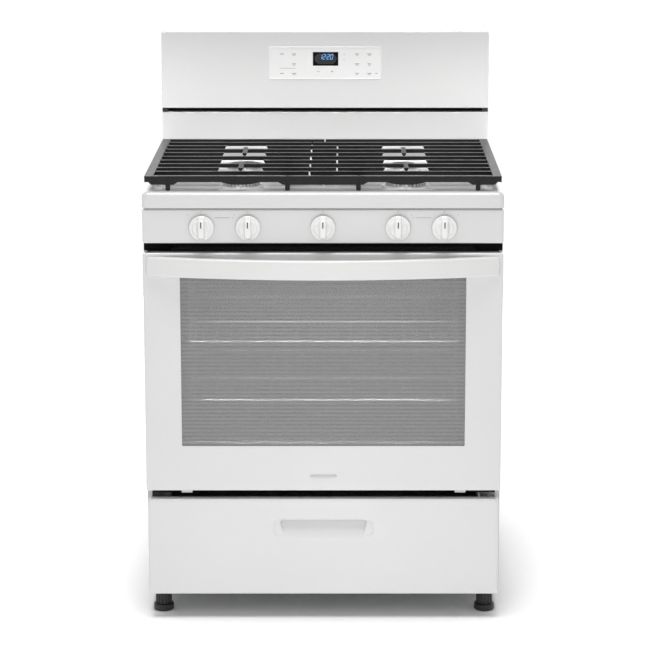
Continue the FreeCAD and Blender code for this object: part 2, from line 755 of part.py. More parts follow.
def door_liner():
    """Dark inner pan of the door, with its own window opening."""
    outer = block((-door_half_width + 6, door_half_width - 6), (-288.8, door_inner_y),
                  (door_bottom + 1, door_top - 1))
    outer = round_edges(outer, 4, Y_AXIS, lambda point: True)
    inner = block((-door_half_width + 7.2, door_half_width - 7.2), (-295, door_inner_y - sheet),
                  (door_bottom + 2.2, door_top - 2.2))
    opening = block((-286, 286), (-290, door_inner_y + 5), (402, 750))
    opening = round_edges(opening, 12, Y_AXIS, lambda point: True)
    return outer.cut(inner).cut(opening).cut(hinge_notches(-300, door_inner_y + 5, 20.0))


def door_inner_glass():
    """Heat-resisting inner window glass."""
    return block((-297, 297), (-273.2, door_inner_y - sheet), (392, 760))


def door_insulation():
    """Frame of mineral wool between the two skins, round the window."""
    wool_y = (front_y + 6.2, -273.6)
    outer = block((-360, 360), wool_y, (330, 798))
    opening = block((-298, 298), (wool_y[0] - 1, wool_y[1] + 1), (390, 762))
    return outer.cut(opening)


def handle_arc(half_span, end_y, middle_y):
    """Arc in plan through both ends and the middle of the bow."""
    middle_z = handle_bottom
    return Part.Arc(Vector(-half_span, end_y, middle_z), Vector(0, middle_y, middle_z),
                    Vector(half_span, end_y, middle_z)).toShape()


def door_handle():
    """Full-width bowed handle whose ends meet the door."""
    end_y = front_y - 6
    outer_arc = handle_arc(handle_half_width, end_y, handle_front_y)
    inner_half = handle_half_width - 34
    inner_arc = handle_arc(inner_half, front_y - gap, handle_front_y + handle_thickness)
    left_root = Vector(-handle_half_width, front_y, handle_bottom)
    right_root = Vector(handle_half_width, front_y, handle_bottom)
    left_inner = Vector(-inner_half, front_y, handle_bottom)
    right_inner = Vector(inner_half, front_y, handle_bottom)
    inner_start = Vector(-inner_half, front_y - gap, handle_bottom)
    inner_end = Vector(inner_half, front_y - gap, handle_bottom)
    edges = [
        outer_arc,
        Part.LineSegment(Vector(handle_half_width, end_y, handle_bottom), right_root).toShape(),
        Part.LineSegment(right_root, right_inner).toShape(),
        Part.LineSegment(right_inner, inner_end).toShape(),
        inner_arc,
        Part.LineSegment(inner_start, left_inner).toShape(),
        Part.LineSegment(left_inner, left_root).toShape(),
        Part.LineSegment(left_root, Vector(-handle_half_width, end_y, handle_bottom)).toShape(),
    ]
    outline = Part.Wire(Part.__sortEdges__(edges))
    bar = Part.Face(outline).extrude(Vector(0, 0, handle_top - handle_bottom))
    long_edges = [edge for edge in bar.Edges
                  if edge.BoundBox.XLength > 700 and edge.BoundBox.YMax < front_y - 1
                  and edge.BoundBox.ZLength < 1 and edge.BoundBox.YMin < handle_front_y + 1]
    return bar.makeFillet(5.5, long_edges)


def hinge_arms():
    """Ears inside the door that turn on the hinge pins."""
    ears = []
    for low_x in (hinge_x - 18.0, hinge_x + 13.5):
        ear = block((low_x, low_x + 4.5), (-301.0, -274.0), (door_bottom + 2.4, 329.5))
        ears.append(ear)
    pin_hole = rod((hinge_x - 30, hinge_y, hinge_z), (hinge_x + 30, hinge_y, hinge_z),
                   hinge_pin_radius + running)
    bridge = block((hinge_x - 18, hinge_x + 18), (-301.0, -274.0), (322, 329.5))
    return both_sides(fuse(ears + [bridge]).cut(pin_hole))


# ---------------------------------------------------------------- drawer
def drawer_front():
    """Pressed drawer front with a recessed finger pull."""
    depth_y = (drawer_face_y, -286.0)
    face = block((-drawer_half_width, drawer_half_width), depth_y, (drawer_bottom, drawer_top))
    face = round_edges(face, 9, Y_AXIS, lambda point: point.z > drawer_top - 1)
    edges = [edge for edge in face.Edges if edge.BoundBox.YMax < drawer_face_y + 0.1]
    face = face.makeFillet(5, edges)
    pocket = block((-pull_half_width + 9, pull_half_width - 9), (drawer_face_y - 5, drawer_face_y + 15),
                   (pull_bottom + 6, pull_top - 8))
    pocket = round_edges(pocket, 6, Y_AXIS, lambda point: True)
    return face.cut(pocket)


def drawer_box():
    """Folded steel tray behind the drawer front."""
    outer = block((-drawer_box_half_width, drawer_box_half_width), (-286.0, drawer_box_back_y),
                  (88, 236))
    inner = block((-drawer_box_half_width + sheet, drawer_box_half_width - sheet),
                  (-286.0 + sheet, drawer_box_back_y - sheet), (88 + sheet, 240))
    runner = block((drawer_box_half_width, drawer_box_half_width + 20), (-255, drawer_box_back_y),
                   (86 + gap, 90))
    return fuse([outer.cut(inner), runner, mirrored(runner)])


# ---------------------------------------------------------------- grates
def grate_row_y(depth):
    """Y of the middle of a bar at a depth behind the grate's front edge."""
    return grate_front_y + depth


def undercut_bar(low_x, high_x, y, low_slope, high_slope):
    """A flat-topped bar whose ends slope back under the top edge by the given lengths."""
    top = grate_top
    bottom = grate_top - grate_bar_height
    points = [(low_x, top), (high_x, top), (high_x - high_slope, bottom), (low_x + low_slope, bottom)]
    return extrude_xz(points, y - grate_bar_width / 2, y + grate_bar_width / 2)


def grate_front_rail(low_y, high_y, seam_x):
    """Front rail of the left grate: deep at its feet, with a shallow belly in front of the burner."""
    top = grate_top
    thin = grate_top - grate_rail_height
    deep = grate_top - grate_foot_rail_height
    outline = [(-grate_outer_x, top), (-grate_outer_x, thin), (-366, thin), (-360, deep), (-312, deep),
               (-304, thin), (-214, thin), (-199, thin - 4), (-188, thin - 5.5), (-162, thin - 5.5),
               (-150, thin - 4), (-132, thin), (-94, thin), (-84, deep), (seam_x, deep), (seam_x, top)]
    return extrude_xz(outline, low_y, high_y)


def grate_back_rail(low_y, high_y, seam_x):
    """Back rail of the left grate, straight between its feet."""
    top = grate_top
    thin = grate_top - grate_rail_height
    deep = grate_top - grate_foot_rail_height
    outline = [(-grate_outer_x, top), (-grate_outer_x, thin), (-366, thin), (-360, deep), (-312, deep),
               (-304, thin), (-94, thin), (-84, deep), (-60, deep), (-50, thin), (seam_x, thin),
               (seam_x, top)]
    return extrude_xz(outline, low_y, high_y)


def grate_foot(x, y):
    """Round peg with a rounded tip, standing on the cooktop's rim."""
    peg = rod((x, y, rim_top + gap), (x, y, grate_top - 10), 5.2)
    tip = [edge for edge in peg.Edges if edge.BoundBox.ZMax < rim_top + gap + 0.1]
    return peg.makeFillet(2.4, tip)


def grate_left_solid(row_owner):
    """The left grate. row_owner says which rows of fingers reach across the seam."""
    seam_x = -0.4
    back_seam_x = -1.3
    rail = 10.0
    lap_y = (grate_front_y + 5.2, grate_front_y + rail)
    outer_rail = block((-grate_outer_x, -grate_outer_x + 18), (grate_front_y, grate_back_y),
                       (grate_top - 12, grate_top))
    pieces = [outer_rail]
    pieces.append(grate_front_rail(grate_front_y, grate_front_y + rail, seam_x))
    pieces.append(grate_back_rail(grate_back_y - rail, grate_back_y, back_seam_x))
    rib = block((-grate_rib_x - 4, -grate_rib_x + 4), (grate_front_y, grate_back_y),
                (grate_top - 16, grate_top - grate_bar_height + 0.5))
    pieces.append(rib)
    for row, depth in enumerate(grate_bar_depths):
        y = grate_row_y(depth)
        crosses = row % 2 == row_owner
        inner_end = grate_finger_reach if crosses else -grate_finger_reach - grate_finger_gap
        if row in grate_cut_rows:
            pieces.append(undercut_bar(-grate_outer_x + 2, -burner_x - window_reach, y, 0, 4.5))
            pieces.append(undercut_bar(-burner_x + window_reach, inner_end, y, 4.5, 0.5))
        else:
            pieces.append(undercut_bar(-grate_outer_x + 2, inner_end, y, 0, 0.5))
    for low_depth, high_depth in stub_depths:
        low_y = grate_row_y(low_depth)
        high_y = grate_row_y(high_depth)
        top = grate_top
        keel = grate_top - grate_bar_height
        section = [(-burner_x - 5, top), (-burner_x - 5, top - 2.5), (-burner_x - 1.2, keel),
                   (-burner_x + 1.2, keel), (-burner_x + 5, top - 2.5), (-burner_x + 5, top)]
        pieces.append(extrude_xz(section, low_y, high_y))
    for x in grate_foot_xs:
        for y in (grate_front_y + rail / 2, grate_back_y - rail / 2):
            pieces.append(grate_foot(-x, y))
    if row_owner == 1:
        tongue = block((-10, grate_lap), lap_y, (grate_top - grate_foot_rail_height, grate_top - 0.6))
        return fuse(pieces + [tongue])
    notch = block((-grate_lap - 1, 5), (lap_y[0] - gap, lap_y[1] + 2), (grate_top - 30, grate_top + 5))
    return fuse(pieces).cut(notch)


def grate_left():
    """Left cast-iron grate; its fingers cross the seam in the cut rows."""
    return grate_left_solid(1)


def grate_right():
    """Right cast-iron grate; its fingers cross the seam in the other rows."""
    return mirrored(grate_left_solid(0))


# ---------------------------------------------------------------- racks
def oven_rack(level):
    """Wire rack: round frame, one cross wire and thin wires from front to back."""
    thin = 1.7
    pieces = []
    for x in (-rack_half_width, rack_half_width):
        pieces.append(rod((x, rack_front_y, level), (x, rack_back_y, level), rack_wire))
    for y in (rack_front_y, rack_cross_y, rack_back_y):
        pieces.append(rod((-rack_half_width, y, level), (rack_half_width, y, level), rack_wire))
    for x in (-rack_half_width, rack_half_width):
        for y in (rack_front_y, rack_back_y):
            pieces.append(Part.makeSphere(rack_wire, Vector(x, y, level)))
    wire_z = level + rack_wire + thin - 0.6
    for index in range(-10, 11):
        x = index * rack_pitch
        pieces.append(rod((x, rack_front_y - 2, wire_z), (x, rack_back_y + 2, wire_z), thin))
        if index % 2:
            pieces.append(rod((x, rack_front_y + 0.4, level), (x, rack_front_y + 0.4, wire_z + 5), 1.3))
    return fuse(pieces)


# ---------------------------------------------------------------- knobs and legs
def valve_stem(x):
    """Turning D-shaft of a gas valve."""
    back_end = valve_front_y + 18
    front_end = panel_face_y - 20
    shaft = rod((x, front_end, knob_z), (x, back_end, knob_z), stem_radius)
    flat = block((x - 6, x + 6), (front_end - 1, panel_face_y + 6), (knob_z + 2.4, knob_z + 6))
    return shaft.cut(flat)


def knob(x):
    """Round skirt with an upright grip, sliding on its D-shaft."""
    skirt_back = panel_face_y - knob_push - 0.4
    skirt_front = skirt_back - 5
    nose_y = panel_face_y - 29
    skirt = rod((x, skirt_back, knob_z), (x, skirt_front, knob_z), knob_radius)
    rim = [edge for edge in skirt.Edges if edge.BoundBox.YMax < skirt_front + 0.1]
    skirt = skirt.makeFillet(3, rim)
    drum = Part.makeCone(21, 19, 6, Vector(x, skirt_front + 1, knob_z), Y_AXIS.negative())
    grip = block((x - 7.5, x + 7.5), (nose_y, skirt_front + 1), (knob_z - 23, knob_z + 23))
    grip = round_edges(grip, 7, X_AXIS, lambda point: point.y < nose_y + 1)
    grip = round_edges(grip, 2.2, Z_AXIS, lambda point: point.y < nose_y + 1)
    hub = rod((x, skirt_back + 3.8, knob_z), (x, skirt_back, knob_z), 6.4)
    bore = rod((x, skirt_back + 4, knob_z), (x, nose_y + 3.9, knob_z), stem_radius + running)
    flat = block((x - 6, x + 6), (nose_y + 3, skirt_back + 5), (knob_z + 2.45, knob_z + 6))
    return fuse([skirt, drum, grip, hub]).cut(bore.cut(flat))


def levelling_leg(x, y):
    """Adjustable leg: broad foot, ribbed collar, flat washer and screw."""
    foot = rod((x, y, 0), (x, y, 15), 22)
    foot = foot.makeFillet(4.5, [edge for edge in foot.Edges if edge.BoundBox.ZMax < 0.1])
    foot = foot.makeFillet(2.5, [edge for edge in foot.Edges if edge.BoundBox.ZMin > 14.9])
    collar = rod((x, y, 15), (x, y, 44), 15.5)
    washer = rod((x, y, 44), (x, y, 49.5), 22)
    screw = rod((x, y, 49.5), (x, y, 80), leg_screw_radius)
    ribs = []
    for index in range(14):
        angle = index * math.pi / 7
        rib_x = x + 15.5 * math.cos(angle)
        rib_y = y + 15.5 * math.sin(angle)
        ribs.append(rod((rib_x, rib_y, 14), (rib_x, rib_y, 45), 2.0))
    return fuse([foot, collar, washer, screw] + ribs)


# ---------------------------------------------------------------- all nodes
def build_parts():
    """Every node of the range by name."""
    parts = {
        "side_panel_left": side_panel_left(),
        "side_panel_right": mirrored(side_panel_left()),
        "rear_panel": rear_panel(),
        "base_frame": base_frame(),
        "front_frame": front_frame(),
        "oven_liner": oven_liner(),
        "oven_insulation": oven_insulation(),
        "oven_floor": oven_floor(),
        "rack_guides": rack_guides(),
        "door_gasket": door_gasket(),
        "bake_burner": bake_burner(),
        "broil_burner": broil_burner(),
        "oven_lamp": oven_lamp(),
        "hinge_receivers": hinge_receivers(),
        "drawer_rails": drawer_rails(),
        "cabinet_screws": cabinet_screws(),
        "cooktop": cooktop(),
        "burner_heads": burner_heads(),
        "burner_caps": burner_caps(),
        "spark_igniters": spark_igniters(),
        "gas_manifold": gas_manifold(),
        "gas_valves": gas_valves(),
        "burner_tubes": burner_tubes(),
        "pressure_regulator": pressure_regulator(),
        "power_inlet": power_inlet(),
        "control_panel": control_panel(),
        "backguard_panel": backguard_panel(),
        "console_panel": console_panel(),
        "key_membrane": key_membrane(),
        "display_window": display_window(),
        "control_board": control_board(),
        "vent_strip": vent_strip(),
        "backguard_cover": backguard_cover(),
        "door_panel": door_panel(),
        "door_glass": door_glass(),
        "door_liner": door_liner(),
        "door_inner_glass": door_inner_glass(),
        "door_insulation": door_insulation(),
        "door_handle": door_handle(),
        "hinge_arms": hinge_arms(),
        "drawer_front": drawer_front(),
        "drawer_box": drawer_box(),
        "grate_left": grate_left(),
        "grate_right": grate_right(),
        "oven_rack_lower": oven_rack(rack_levels[0]),
        "oven_rack_upper": oven_rack(rack_levels[1]),
    }
    for name, x in zip(knob_names, knob_xs):
        parts["knob_" + name] = knob(x)
        parts["valve_stem_" + name] = valve_stem(x)
    for side, x in (("left", -leg_x), ("right", leg_x)):
        for place, y in (("front", leg_front_y), ("rear", leg_back_y)):
            parts["leg_" + place + "_" + side] = levelling_leg(x, y)
    return parts


for node, shape in build_parts().items():
    shape.exportStep("parts/" + node + ".step")
    box = shape.BoundBox
    print("%-24s solids %3d  valid %s  %8.1f cm3" % (node, len(shape.Solids), shape.isValid(),
                                                  shape.Volume / 1000))
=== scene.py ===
"""Looks of a freestanding gas range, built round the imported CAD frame.

Metres throughout. +X is right seen from the front, the front faces -Y, +Z is up.
"""
import math

import bmesh
import bpy
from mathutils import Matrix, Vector


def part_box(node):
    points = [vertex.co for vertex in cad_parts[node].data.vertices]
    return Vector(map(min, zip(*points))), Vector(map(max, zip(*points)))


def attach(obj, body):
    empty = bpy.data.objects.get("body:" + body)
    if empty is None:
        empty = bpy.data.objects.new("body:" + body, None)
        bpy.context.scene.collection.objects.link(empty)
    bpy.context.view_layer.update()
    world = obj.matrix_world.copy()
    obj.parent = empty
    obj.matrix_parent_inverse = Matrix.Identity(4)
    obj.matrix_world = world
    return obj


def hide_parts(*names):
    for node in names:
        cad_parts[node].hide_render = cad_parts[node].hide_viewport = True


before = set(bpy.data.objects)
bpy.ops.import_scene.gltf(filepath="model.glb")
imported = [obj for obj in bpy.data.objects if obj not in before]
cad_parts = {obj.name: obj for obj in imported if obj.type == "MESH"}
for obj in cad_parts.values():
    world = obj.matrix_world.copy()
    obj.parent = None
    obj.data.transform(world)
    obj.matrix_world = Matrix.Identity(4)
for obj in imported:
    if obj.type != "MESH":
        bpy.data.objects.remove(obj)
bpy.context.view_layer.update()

scene = bpy.context.scene
scene.view_settings.view_transform = "Standard"


# ---------------------------------------------------------------- finishes
class Finish:
    """A Principled material with procedural colour, roughness and relief."""

    coat_roughness = 0.06

    def __init__(self, name, colour, roughness, metallic=0.0, coat=0.0):
        self.material = bpy.data.materials.new(name)
        self.material.use_nodes = True
        self.tree = self.material.node_tree
        self.shader = self.tree.nodes["Principled BSDF"]
        self.shader.inputs["Base Color"].default_value = (*colour, 1)
        self.shader.inputs["Roughness"].default_value = roughness
        self.shader.inputs["Metallic"].default_value = metallic
        self.shader.inputs["Coat Weight"].default_value = coat
        self.shader.inputs["Coat Roughness"].default_value = self.coat_roughness
        self.place = self.tree.nodes.new("ShaderNodeTexCoord").outputs["Object"]
        self.normal = None

    def add(self, kind, **settings):
        """A node with its properties set."""
        node = self.tree.nodes.new("ShaderNode" + kind)
        for key, value in settings.items():
            setattr(node, key, value)
        return node

    def join(self, output, socket):
        """Links an output to an input."""
        self.tree.links.new(output, socket)

    def stretched(self, stretch):
        """Object coordinates scaled per axis."""
        mapping = self.add("Mapping")
        mapping.inputs["Scale"].default_value = stretch
        self.join(self.place, mapping.inputs["Vector"])
        return mapping.outputs["Vector"]

    def noise(self, scale, detail=3.0, stretch=(1, 1, 1)):
        """Cloudy value from 0 to 1; scale is in cells per metre."""
        texture = self.add("TexNoise")
        texture.inputs["Scale"].default_value = scale
        texture.inputs["Detail"].default_value = detail
        self.join(self.stretched(stretch), texture.inputs["Vector"])
        return texture.outputs["Fac"]

    def cells(self, scale, feature="F1", output="Distance"):
        """Cell pattern; scale is in cells per metre."""
        texture = self.add("TexVoronoi", feature=feature)
        texture.inputs["Scale"].default_value = scale
        self.join(self.place, texture.inputs["Vector"])
        return texture.outputs[output]

    def bands(self, axis, period):
        """Even bands across one axis; period in metres."""
        texture = self.add("TexWave", wave_type="BANDS", bands_direction=axis, wave_profile="SIN")
        # At scale 1 the wave turns through 20 radians in a metre.
        texture.inputs["Scale"].default_value = math.pi / 10 / period
        self.join(self.place, texture.inputs["Vector"])
        return texture.outputs["Fac"]

    def spread(self, value, low, high, start=0.3, end=0.7):
        """Maps a 0 to 1 value onto low to high, with the change between start and end."""
        node = self.add("MapRange")
        for key, number in (("From Min", start), ("From Max", end), ("To Min", low), ("To Max", high)):
            node.inputs[key].default_value = number
        self.join(value, node.inputs["Value"])
        return node.outputs["Result"]

    def colours(self, value, low, high, start=0.3, end=0.7):
        """Colour that runs from low to high with the value."""
        ramp = self.add("ValToRGB")
        ramp.color_ramp.elements[0].position = start
        ramp.color_ramp.elements[1].position = end
        ramp.color_ramp.elements[0].color = (*low, 1)
        ramp.color_ramp.elements[1].color = (*high, 1)
        self.join(value, ramp.inputs["Fac"])
        return ramp.outputs["Color"]

    def colour(self, value, low, high, start=0.3, end=0.7):
        """Base colour that varies with a value."""
        self.join(self.colours(value, low, high, start, end), self.shader.inputs["Base Color"])

    def roughness(self, value, low, high, start=0.3, end=0.7):
        """Roughness that varies with a value."""
        self.join(self.spread(value, low, high, start, end), self.shader.inputs["Roughness"])

    def alpha(self, value, low, high, start=0.3, end=0.7):
        """Opacity that varies with a value."""
        self.join(self.spread(value, low, high, start, end), self.shader.inputs["Alpha"])

    def specular(self, level):
        """Strength of the plain reflection; 0.5 is that of ordinary glass or paint."""
        self.shader.inputs["Specular IOR Level"].default_value = level

    def relief(self, value, height, strength=1.0):
        """Bump of a height in metres; several may be laid over each other."""
        bump = self.add("Bump")
        bump.inputs["Strength"].default_value = strength
        bump.inputs["Distance"].default_value = height
        self.join(value, bump.inputs["Height"])
        if self.normal:
            self.join(self.normal, bump.inputs["Normal"])
        self.normal = bump.outputs["Normal"]
        self.join(self.normal, self.shader.inputs["Normal"])


def grey(value):
    """A neutral colour."""
    return (value, value, value)


def shaded(colour, factor):
    """A colour with every channel multiplied by a factor."""
    return tuple(channel * factor for channel in colour)


def enamel(name, colour, roughness, coat=0.4):
    """Fired enamel: glossy, with slight orange peel and faint cloudiness."""
    finish = Finish(name, colour, roughness, coat=coat)
    clouds = finish.noise(3.0, 2)
    haze = finish.noise(14.0, 4)
    orange_peel = finish.noise(260.0, 1)
    finish.colour(clouds, shaded(colour, 0.975), colour)
    finish.roughness(haze, roughness * 0.8, roughness * 1.25)
    finish.relief(orange_peel, 0.00004)
    return finish


def speckled_enamel(name, colour, fleck, roughness):
    """Dark oven enamel with pale flecks."""
    finish = enamel(name, colour, roughness, coat=0.2)
    flecks = finish.cells(420.0)
    finish.colour(flecks, fleck, colour, 0.05, 0.2)
    return finish


def sheet_zinc(name, colour, roughness):
    """Galvanised sheet: spangle in colour and gloss, and faint rolling lines."""
    finish = Finish(name, colour, roughness, metallic=0.9)
    spangle = finish.cells(70.0, output="Color")
    rolling_lines = finish.noise(900.0, 2, (1, 1, 0.05))
    finish.colour(spangle, shaded(colour, 0.72), colour, 0.1, 0.9)
    finish.roughness(spangle, roughness * 0.75, roughness * 1.3, 0.1, 0.9)
    finish.relief(rolling_lines, 0.00002)
    return finish


def turned_metal(name, colour, roughness, grain=(1, 1, 1)):
    """Machined or plated metal with fine tool marks."""
    finish = Finish(name, colour, roughness, metallic=1.0)
    stain = finish.noise(90.0, 4, grain)
    polish = finish.noise(1200.0, 2, grain)
    tool_marks = finish.noise(1500.0, 2, grain)
    finish.colour(stain, shaded(colour, 0.8), colour)
    finish.roughness(polish, roughness * 0.7, roughness * 1.3)
    finish.relief(tool_marks, 0.00001)
    return finish


def cast_metal(name, colour, roughness, metallic, grain, specular=0.5):
    """Sand-cast surface: coarse grain, uneven tone and gloss."""
    finish = Finish(name, colour, roughness, metallic=metallic)
    finish.specular(specular)
    stain = finish.noise(60.0, 5)
    wear = finish.noise(180.0, 3)
    sand = finish.noise(grain, 3)
    pits = finish.noise(grain * 0.2, 2)
    finish.colour(stain, shaded(colour, 0.6), colour)
    finish.roughness(wear, roughness * 0.8, min(1.0, roughness * 1.2))
    finish.relief(sand, 0.0002)
    finish.relief(pits, 0.0004, 0.6)
    return finish


def matt_black(name, tone):
    """Flat black paint, slightly dusty."""
    finish = Finish(name, grey(tone), 0.7)
    finish.specular(0.12)
    dust = finish.noise(30.0, 4)
    finish.colour(dust, grey(tone * 0.6), grey(tone * 1.5))
    finish.relief(finish.noise(700.0, 2), 0.00003)
    return finish


def moulded_plastic(name, colour, roughness, coat=0.0):
    """Moulded plastic with a fine spark-eroded grain."""
    finish = Finish(name, colour, roughness, coat=coat)
    flow = finish.noise(9.0, 2)
    sheen = finish.noise(300.0, 3)
    grain = finish.cells(1800.0)
    finish.colour(flow, shaded(colour, 0.985), colour)
    finish.roughness(sheen, roughness * 0.9, roughness * 1.1)
    finish.relief(grain, 0.00001)
    return finish


def wool(name, dark, light):
    """Matted fibres."""
    finish = Finish(name, light, 0.95)
    fibre = finish.noise(500.0, 5, (0.3, 1, 1))
    tufts = finish.noise(60.0, 3)
    finish.colour(fibre, dark, light)
    finish.relief(fibre, 0.002)
    finish.relief(tufts, 0.004)
    return finish


def woven(name, dark, light, pitch):
    """Crossing strands of a braided seal."""
    finish = Finish(name, light, 0.85)
    across = finish.bands("X", pitch)
    along = finish.bands("Z", pitch)
    strand_height = 0.0006
    finish.colour(across, dark, light)
    finish.relief(across, strand_height)
    finish.relief(along, strand_height)
    return finish


def smoked_lens(name, colour):
    """Dark lens with a low sheen and faint smears."""
    finish = moulded_plastic(name, colour, 0.25)
    finish.specular(0.08)
    return finish


def striped_glass(name, tint, pitch):
    """Tinted glass with a printed pattern of fine horizontal stripes."""
    finish = Finish(name, tint, 0.12)
    stripes = finish.bands("Z", pitch)
    waviness = finish.noise(8.0, 2)
    finish.colour(stripes, grey(0.295), grey(0.34), 0.1, 0.9)
    finish.alpha(stripes, 0.54, 0.58, 0.1, 0.9)
    finish.relief(waviness, 0.00003)
    return finish


def clear_glass(name, tint, alpha):
    """Plain glass with faint smears."""
    finish = Finish(name, tint, 0.05)
    smears = finish.noise(30.0, 3)
    haze = finish.noise(12.0, 4)
    finish.alpha(smears, alpha * 0.8, alpha * 1.2)
    finish.roughness(haze, 0.03, 0.12)
    return finish


def lit_plastic(name, colour, strength):
    """Glowing display segments, slightly uneven along their length."""
    finish = Finish(name, colour, 0.4)
    glow = finish.noise(400.0, 1)
    light = finish.colours(glow, shaded(colour, 0.8), colour)
    finish.join(light, finish.shader.inputs["Emission Color"])
    finish.shader.inputs["Emission Strength"].default_value = strength
    finish.colour(glow, grey(0.02), grey(0.03))
    return finish


def circuit_board(name):
    """Green solder mask with copper tracks showing through."""
    finish = Finish(name, (0.02, 0.14, 0.05), 0.4)
    tracks = finish.cells(110.0, feature="DISTANCE_TO_EDGE")
    finish.colour(tracks, (0.06, 0.3, 0.1), (0.015, 0.11, 0.04), 0.03, 0.06)
    finish.relief(tracks, 0.0003)
    return finish


finishes = {
    "white_enamel": enamel("white_enamel", (0.7, 0.7, 0.698), 0.2),
    "dark_enamel": speckled_enamel("dark_enamel", grey(0.05), grey(0.07), 0.34),
    "galvanised_steel": sheet_zinc("galvanised_steel", (0.55, 0.56, 0.57), 0.42),
    "hinge_steel": enamel("hinge_steel", (0.78, 0.78, 0.77), 0.35),
    "screw_steel": turned_metal("screw_steel", (0.6, 0.6, 0.62), 0.3),
    "stem_steel": turned_metal("stem_steel", (0.62, 0.62, 0.6), 0.28, (1, 0.1, 1)),
    "mineral_wool": wool("mineral_wool", (0.2, 0.195, 0.18), (0.46, 0.45, 0.42)),
    "woven_seal": woven("woven_seal", grey(0.006), grey(0.022), 0.003),
    "chrome_wire": turned_metal("chrome_wire", grey(0.8), 0.55),
    "lamp_glass": clear_glass("lamp_glass", (0.95, 0.93, 0.85), 0.5),
    "burner_aluminium": cast_metal("burner_aluminium", (0.74, 0.74, 0.73), 0.42, 0.85, 900.0),
    "black_enamel": enamel("black_enamel", grey(0.012), 0.34, coat=0.1),
    "igniter_ceramic": moulded_plastic("igniter_ceramic", (0.84, 0.83, 0.79), 0.5),
    "brass": turned_metal("brass", (0.72, 0.53, 0.24), 0.3),
    "cast_zinc": cast_metal("cast_zinc", (0.5, 0.5, 0.5), 0.45, 0.9, 600.0),
    "black_plastic": moulded_plastic("black_plastic", grey(0.02), 0.45),
    "white_film": moulded_plastic("white_film", (0.82, 0.82, 0.815), 0.3, coat=0.2),
    "display_lens": smoked_lens("display_lens", grey(0.004)),
    "circuit_board": circuit_board("circuit_board"),
    "window_glass": striped_glass("window_glass", grey(0.24), 0.0085),
    "inner_glass": clear_glass("inner_glass", (0.9, 0.92, 0.9), 0.12),
    "white_plastic": moulded_plastic("white_plastic", (0.715, 0.714, 0.71), 0.24, coat=0.3),
    "knob_plastic": moulded_plastic("knob_plastic", (0.82, 0.818, 0.808), 0.3, coat=0.2),
    "cast_iron": cast_metal("cast_iron", (0.009, 0.009, 0.0095), 0.34, 0.0, 420.0, specular=0.36),
    "frame_black": matt_black("frame_black", 0.006),
    "leg_plastic": moulded_plastic("leg_plastic", grey(0.018), 0.42),
    "grey_print": moulded_plastic("grey_print", grey(0.30), 0.6),
    "badge_metal": turned_metal("badge_metal", grey(0.62), 0.34, (0.05, 1, 1)),
    "display_field": moulded_plastic("display_field", (0.008, 0.009, 0.012), 0.3),
    "lit_digits": lit_plastic("lit_digits", (0.16, 0.48, 1.0), 1.15),
}

# The finish of each CAD node.
painted = {
    "white_enamel": ["side_panel_left", "side_panel_right", "cooktop", "control_panel",
                     "backguard_panel", "console_panel", "door_panel", "drawer_front"],
    "dark_enamel": ["oven_liner", "oven_floor", "door_liner"],
    "frame_black": ["front_frame"],
    "galvanised_steel": ["rear_panel", "base_frame", "bake_burner", "broil_burner", "drawer_rails",
                         "gas_manifold", "backguard_cover", "drawer_box"],
    "hinge_steel": ["hinge_receivers", "hinge_arms"],
    "screw_steel": ["cabinet_screws"],
    "mineral_wool": ["oven_insulation", "door_insulation"],
    "woven_seal": ["door_gasket"],
    "chrome_wire": ["rack_guides", "oven_rack_lower", "oven_rack_upper"],
    "lamp_glass": ["oven_lamp"],
    "burner_aluminium": ["burner_heads", "burner_tubes"],
    "black_enamel": ["burner_caps"],
    "igniter_ceramic": ["spark_igniters"],
    "brass": ["gas_valves"],
    "cast_zinc": ["pressure_regulator"],
    "black_plastic": ["power_inlet", "vent_strip"],
    "white_film": ["key_membrane"],
    "display_lens": ["display_window"],
    "circuit_board": ["control_board"],
    "window_glass": ["door_glass"],
    "inner_glass": ["door_inner_glass"],
    "white_plastic": ["door_handle"],
    "cast_iron": ["grate_left", "grate_right"],
}
knob_names = ("left_outer", "left_inner", "centre", "right_inner", "right_outer")
leg_names = ("front_left", "rear_left", "front_right", "rear_right")
painted["white_plastic"] += ["knob_" + name for name in knob_names]
painted["stem_steel"] = ["valve_stem_" + name for name in knob_names]
painted["leg_plastic"] = ["leg_" + name for name in leg_names]


def paint(item, finish):
    """Gives an object one material, on the object rather than on its mesh."""
    if not item.material_slots:
        item.data.materials.append(None)
    for holder in item.material_slots:
        holder.link = "OBJECT"
        holder.material = finish.material


for finish_name, node_names in painted.items():
    for node_name in node_names:
        paint(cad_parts[node_name], finishes[finish_name])


# ---------------------------------------------------------------- mesh helpers
def add_piece(name, points, faces, body, slot_name, replaced=(), sharp=32.0, finish=None):
    """A closed mesh piece, shaded smooth except across sharp edges."""
    mesh = bpy.data.meshes.new(name)
    mesh.from_pydata([tuple(point) for point in points], [], faces)
    work = bmesh.new()
    work.from_mesh(mesh)
    bmesh.ops.remove_doubles(work, verts=work.verts, dist=1e-6)
    bmesh.ops.dissolve_degenerate(work, edges=work.edges, dist=1e-7)
    bmesh.ops.recalc_face_normals(work, faces=work.faces)
    work.to_mesh(mesh)
    work.free()
    mesh.polygons.foreach_set("use_smooth", [True] * len(mesh.polygons))
    mesh.set_sharp_from_angle(angle=math.radians(sharp))
    item = bpy.data.objects.new(name, mesh)
    scene.collection.objects.link(item)
    paint(item, finishes[finish or slot_name])
    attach(item, body)
    if replaced:
        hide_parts(*replaced)


def ease(value):
    """Smooth step from 0 to 1."""
    value = min(1.0, max(0.0, value))
    return value * value * (3 - 2 * value)


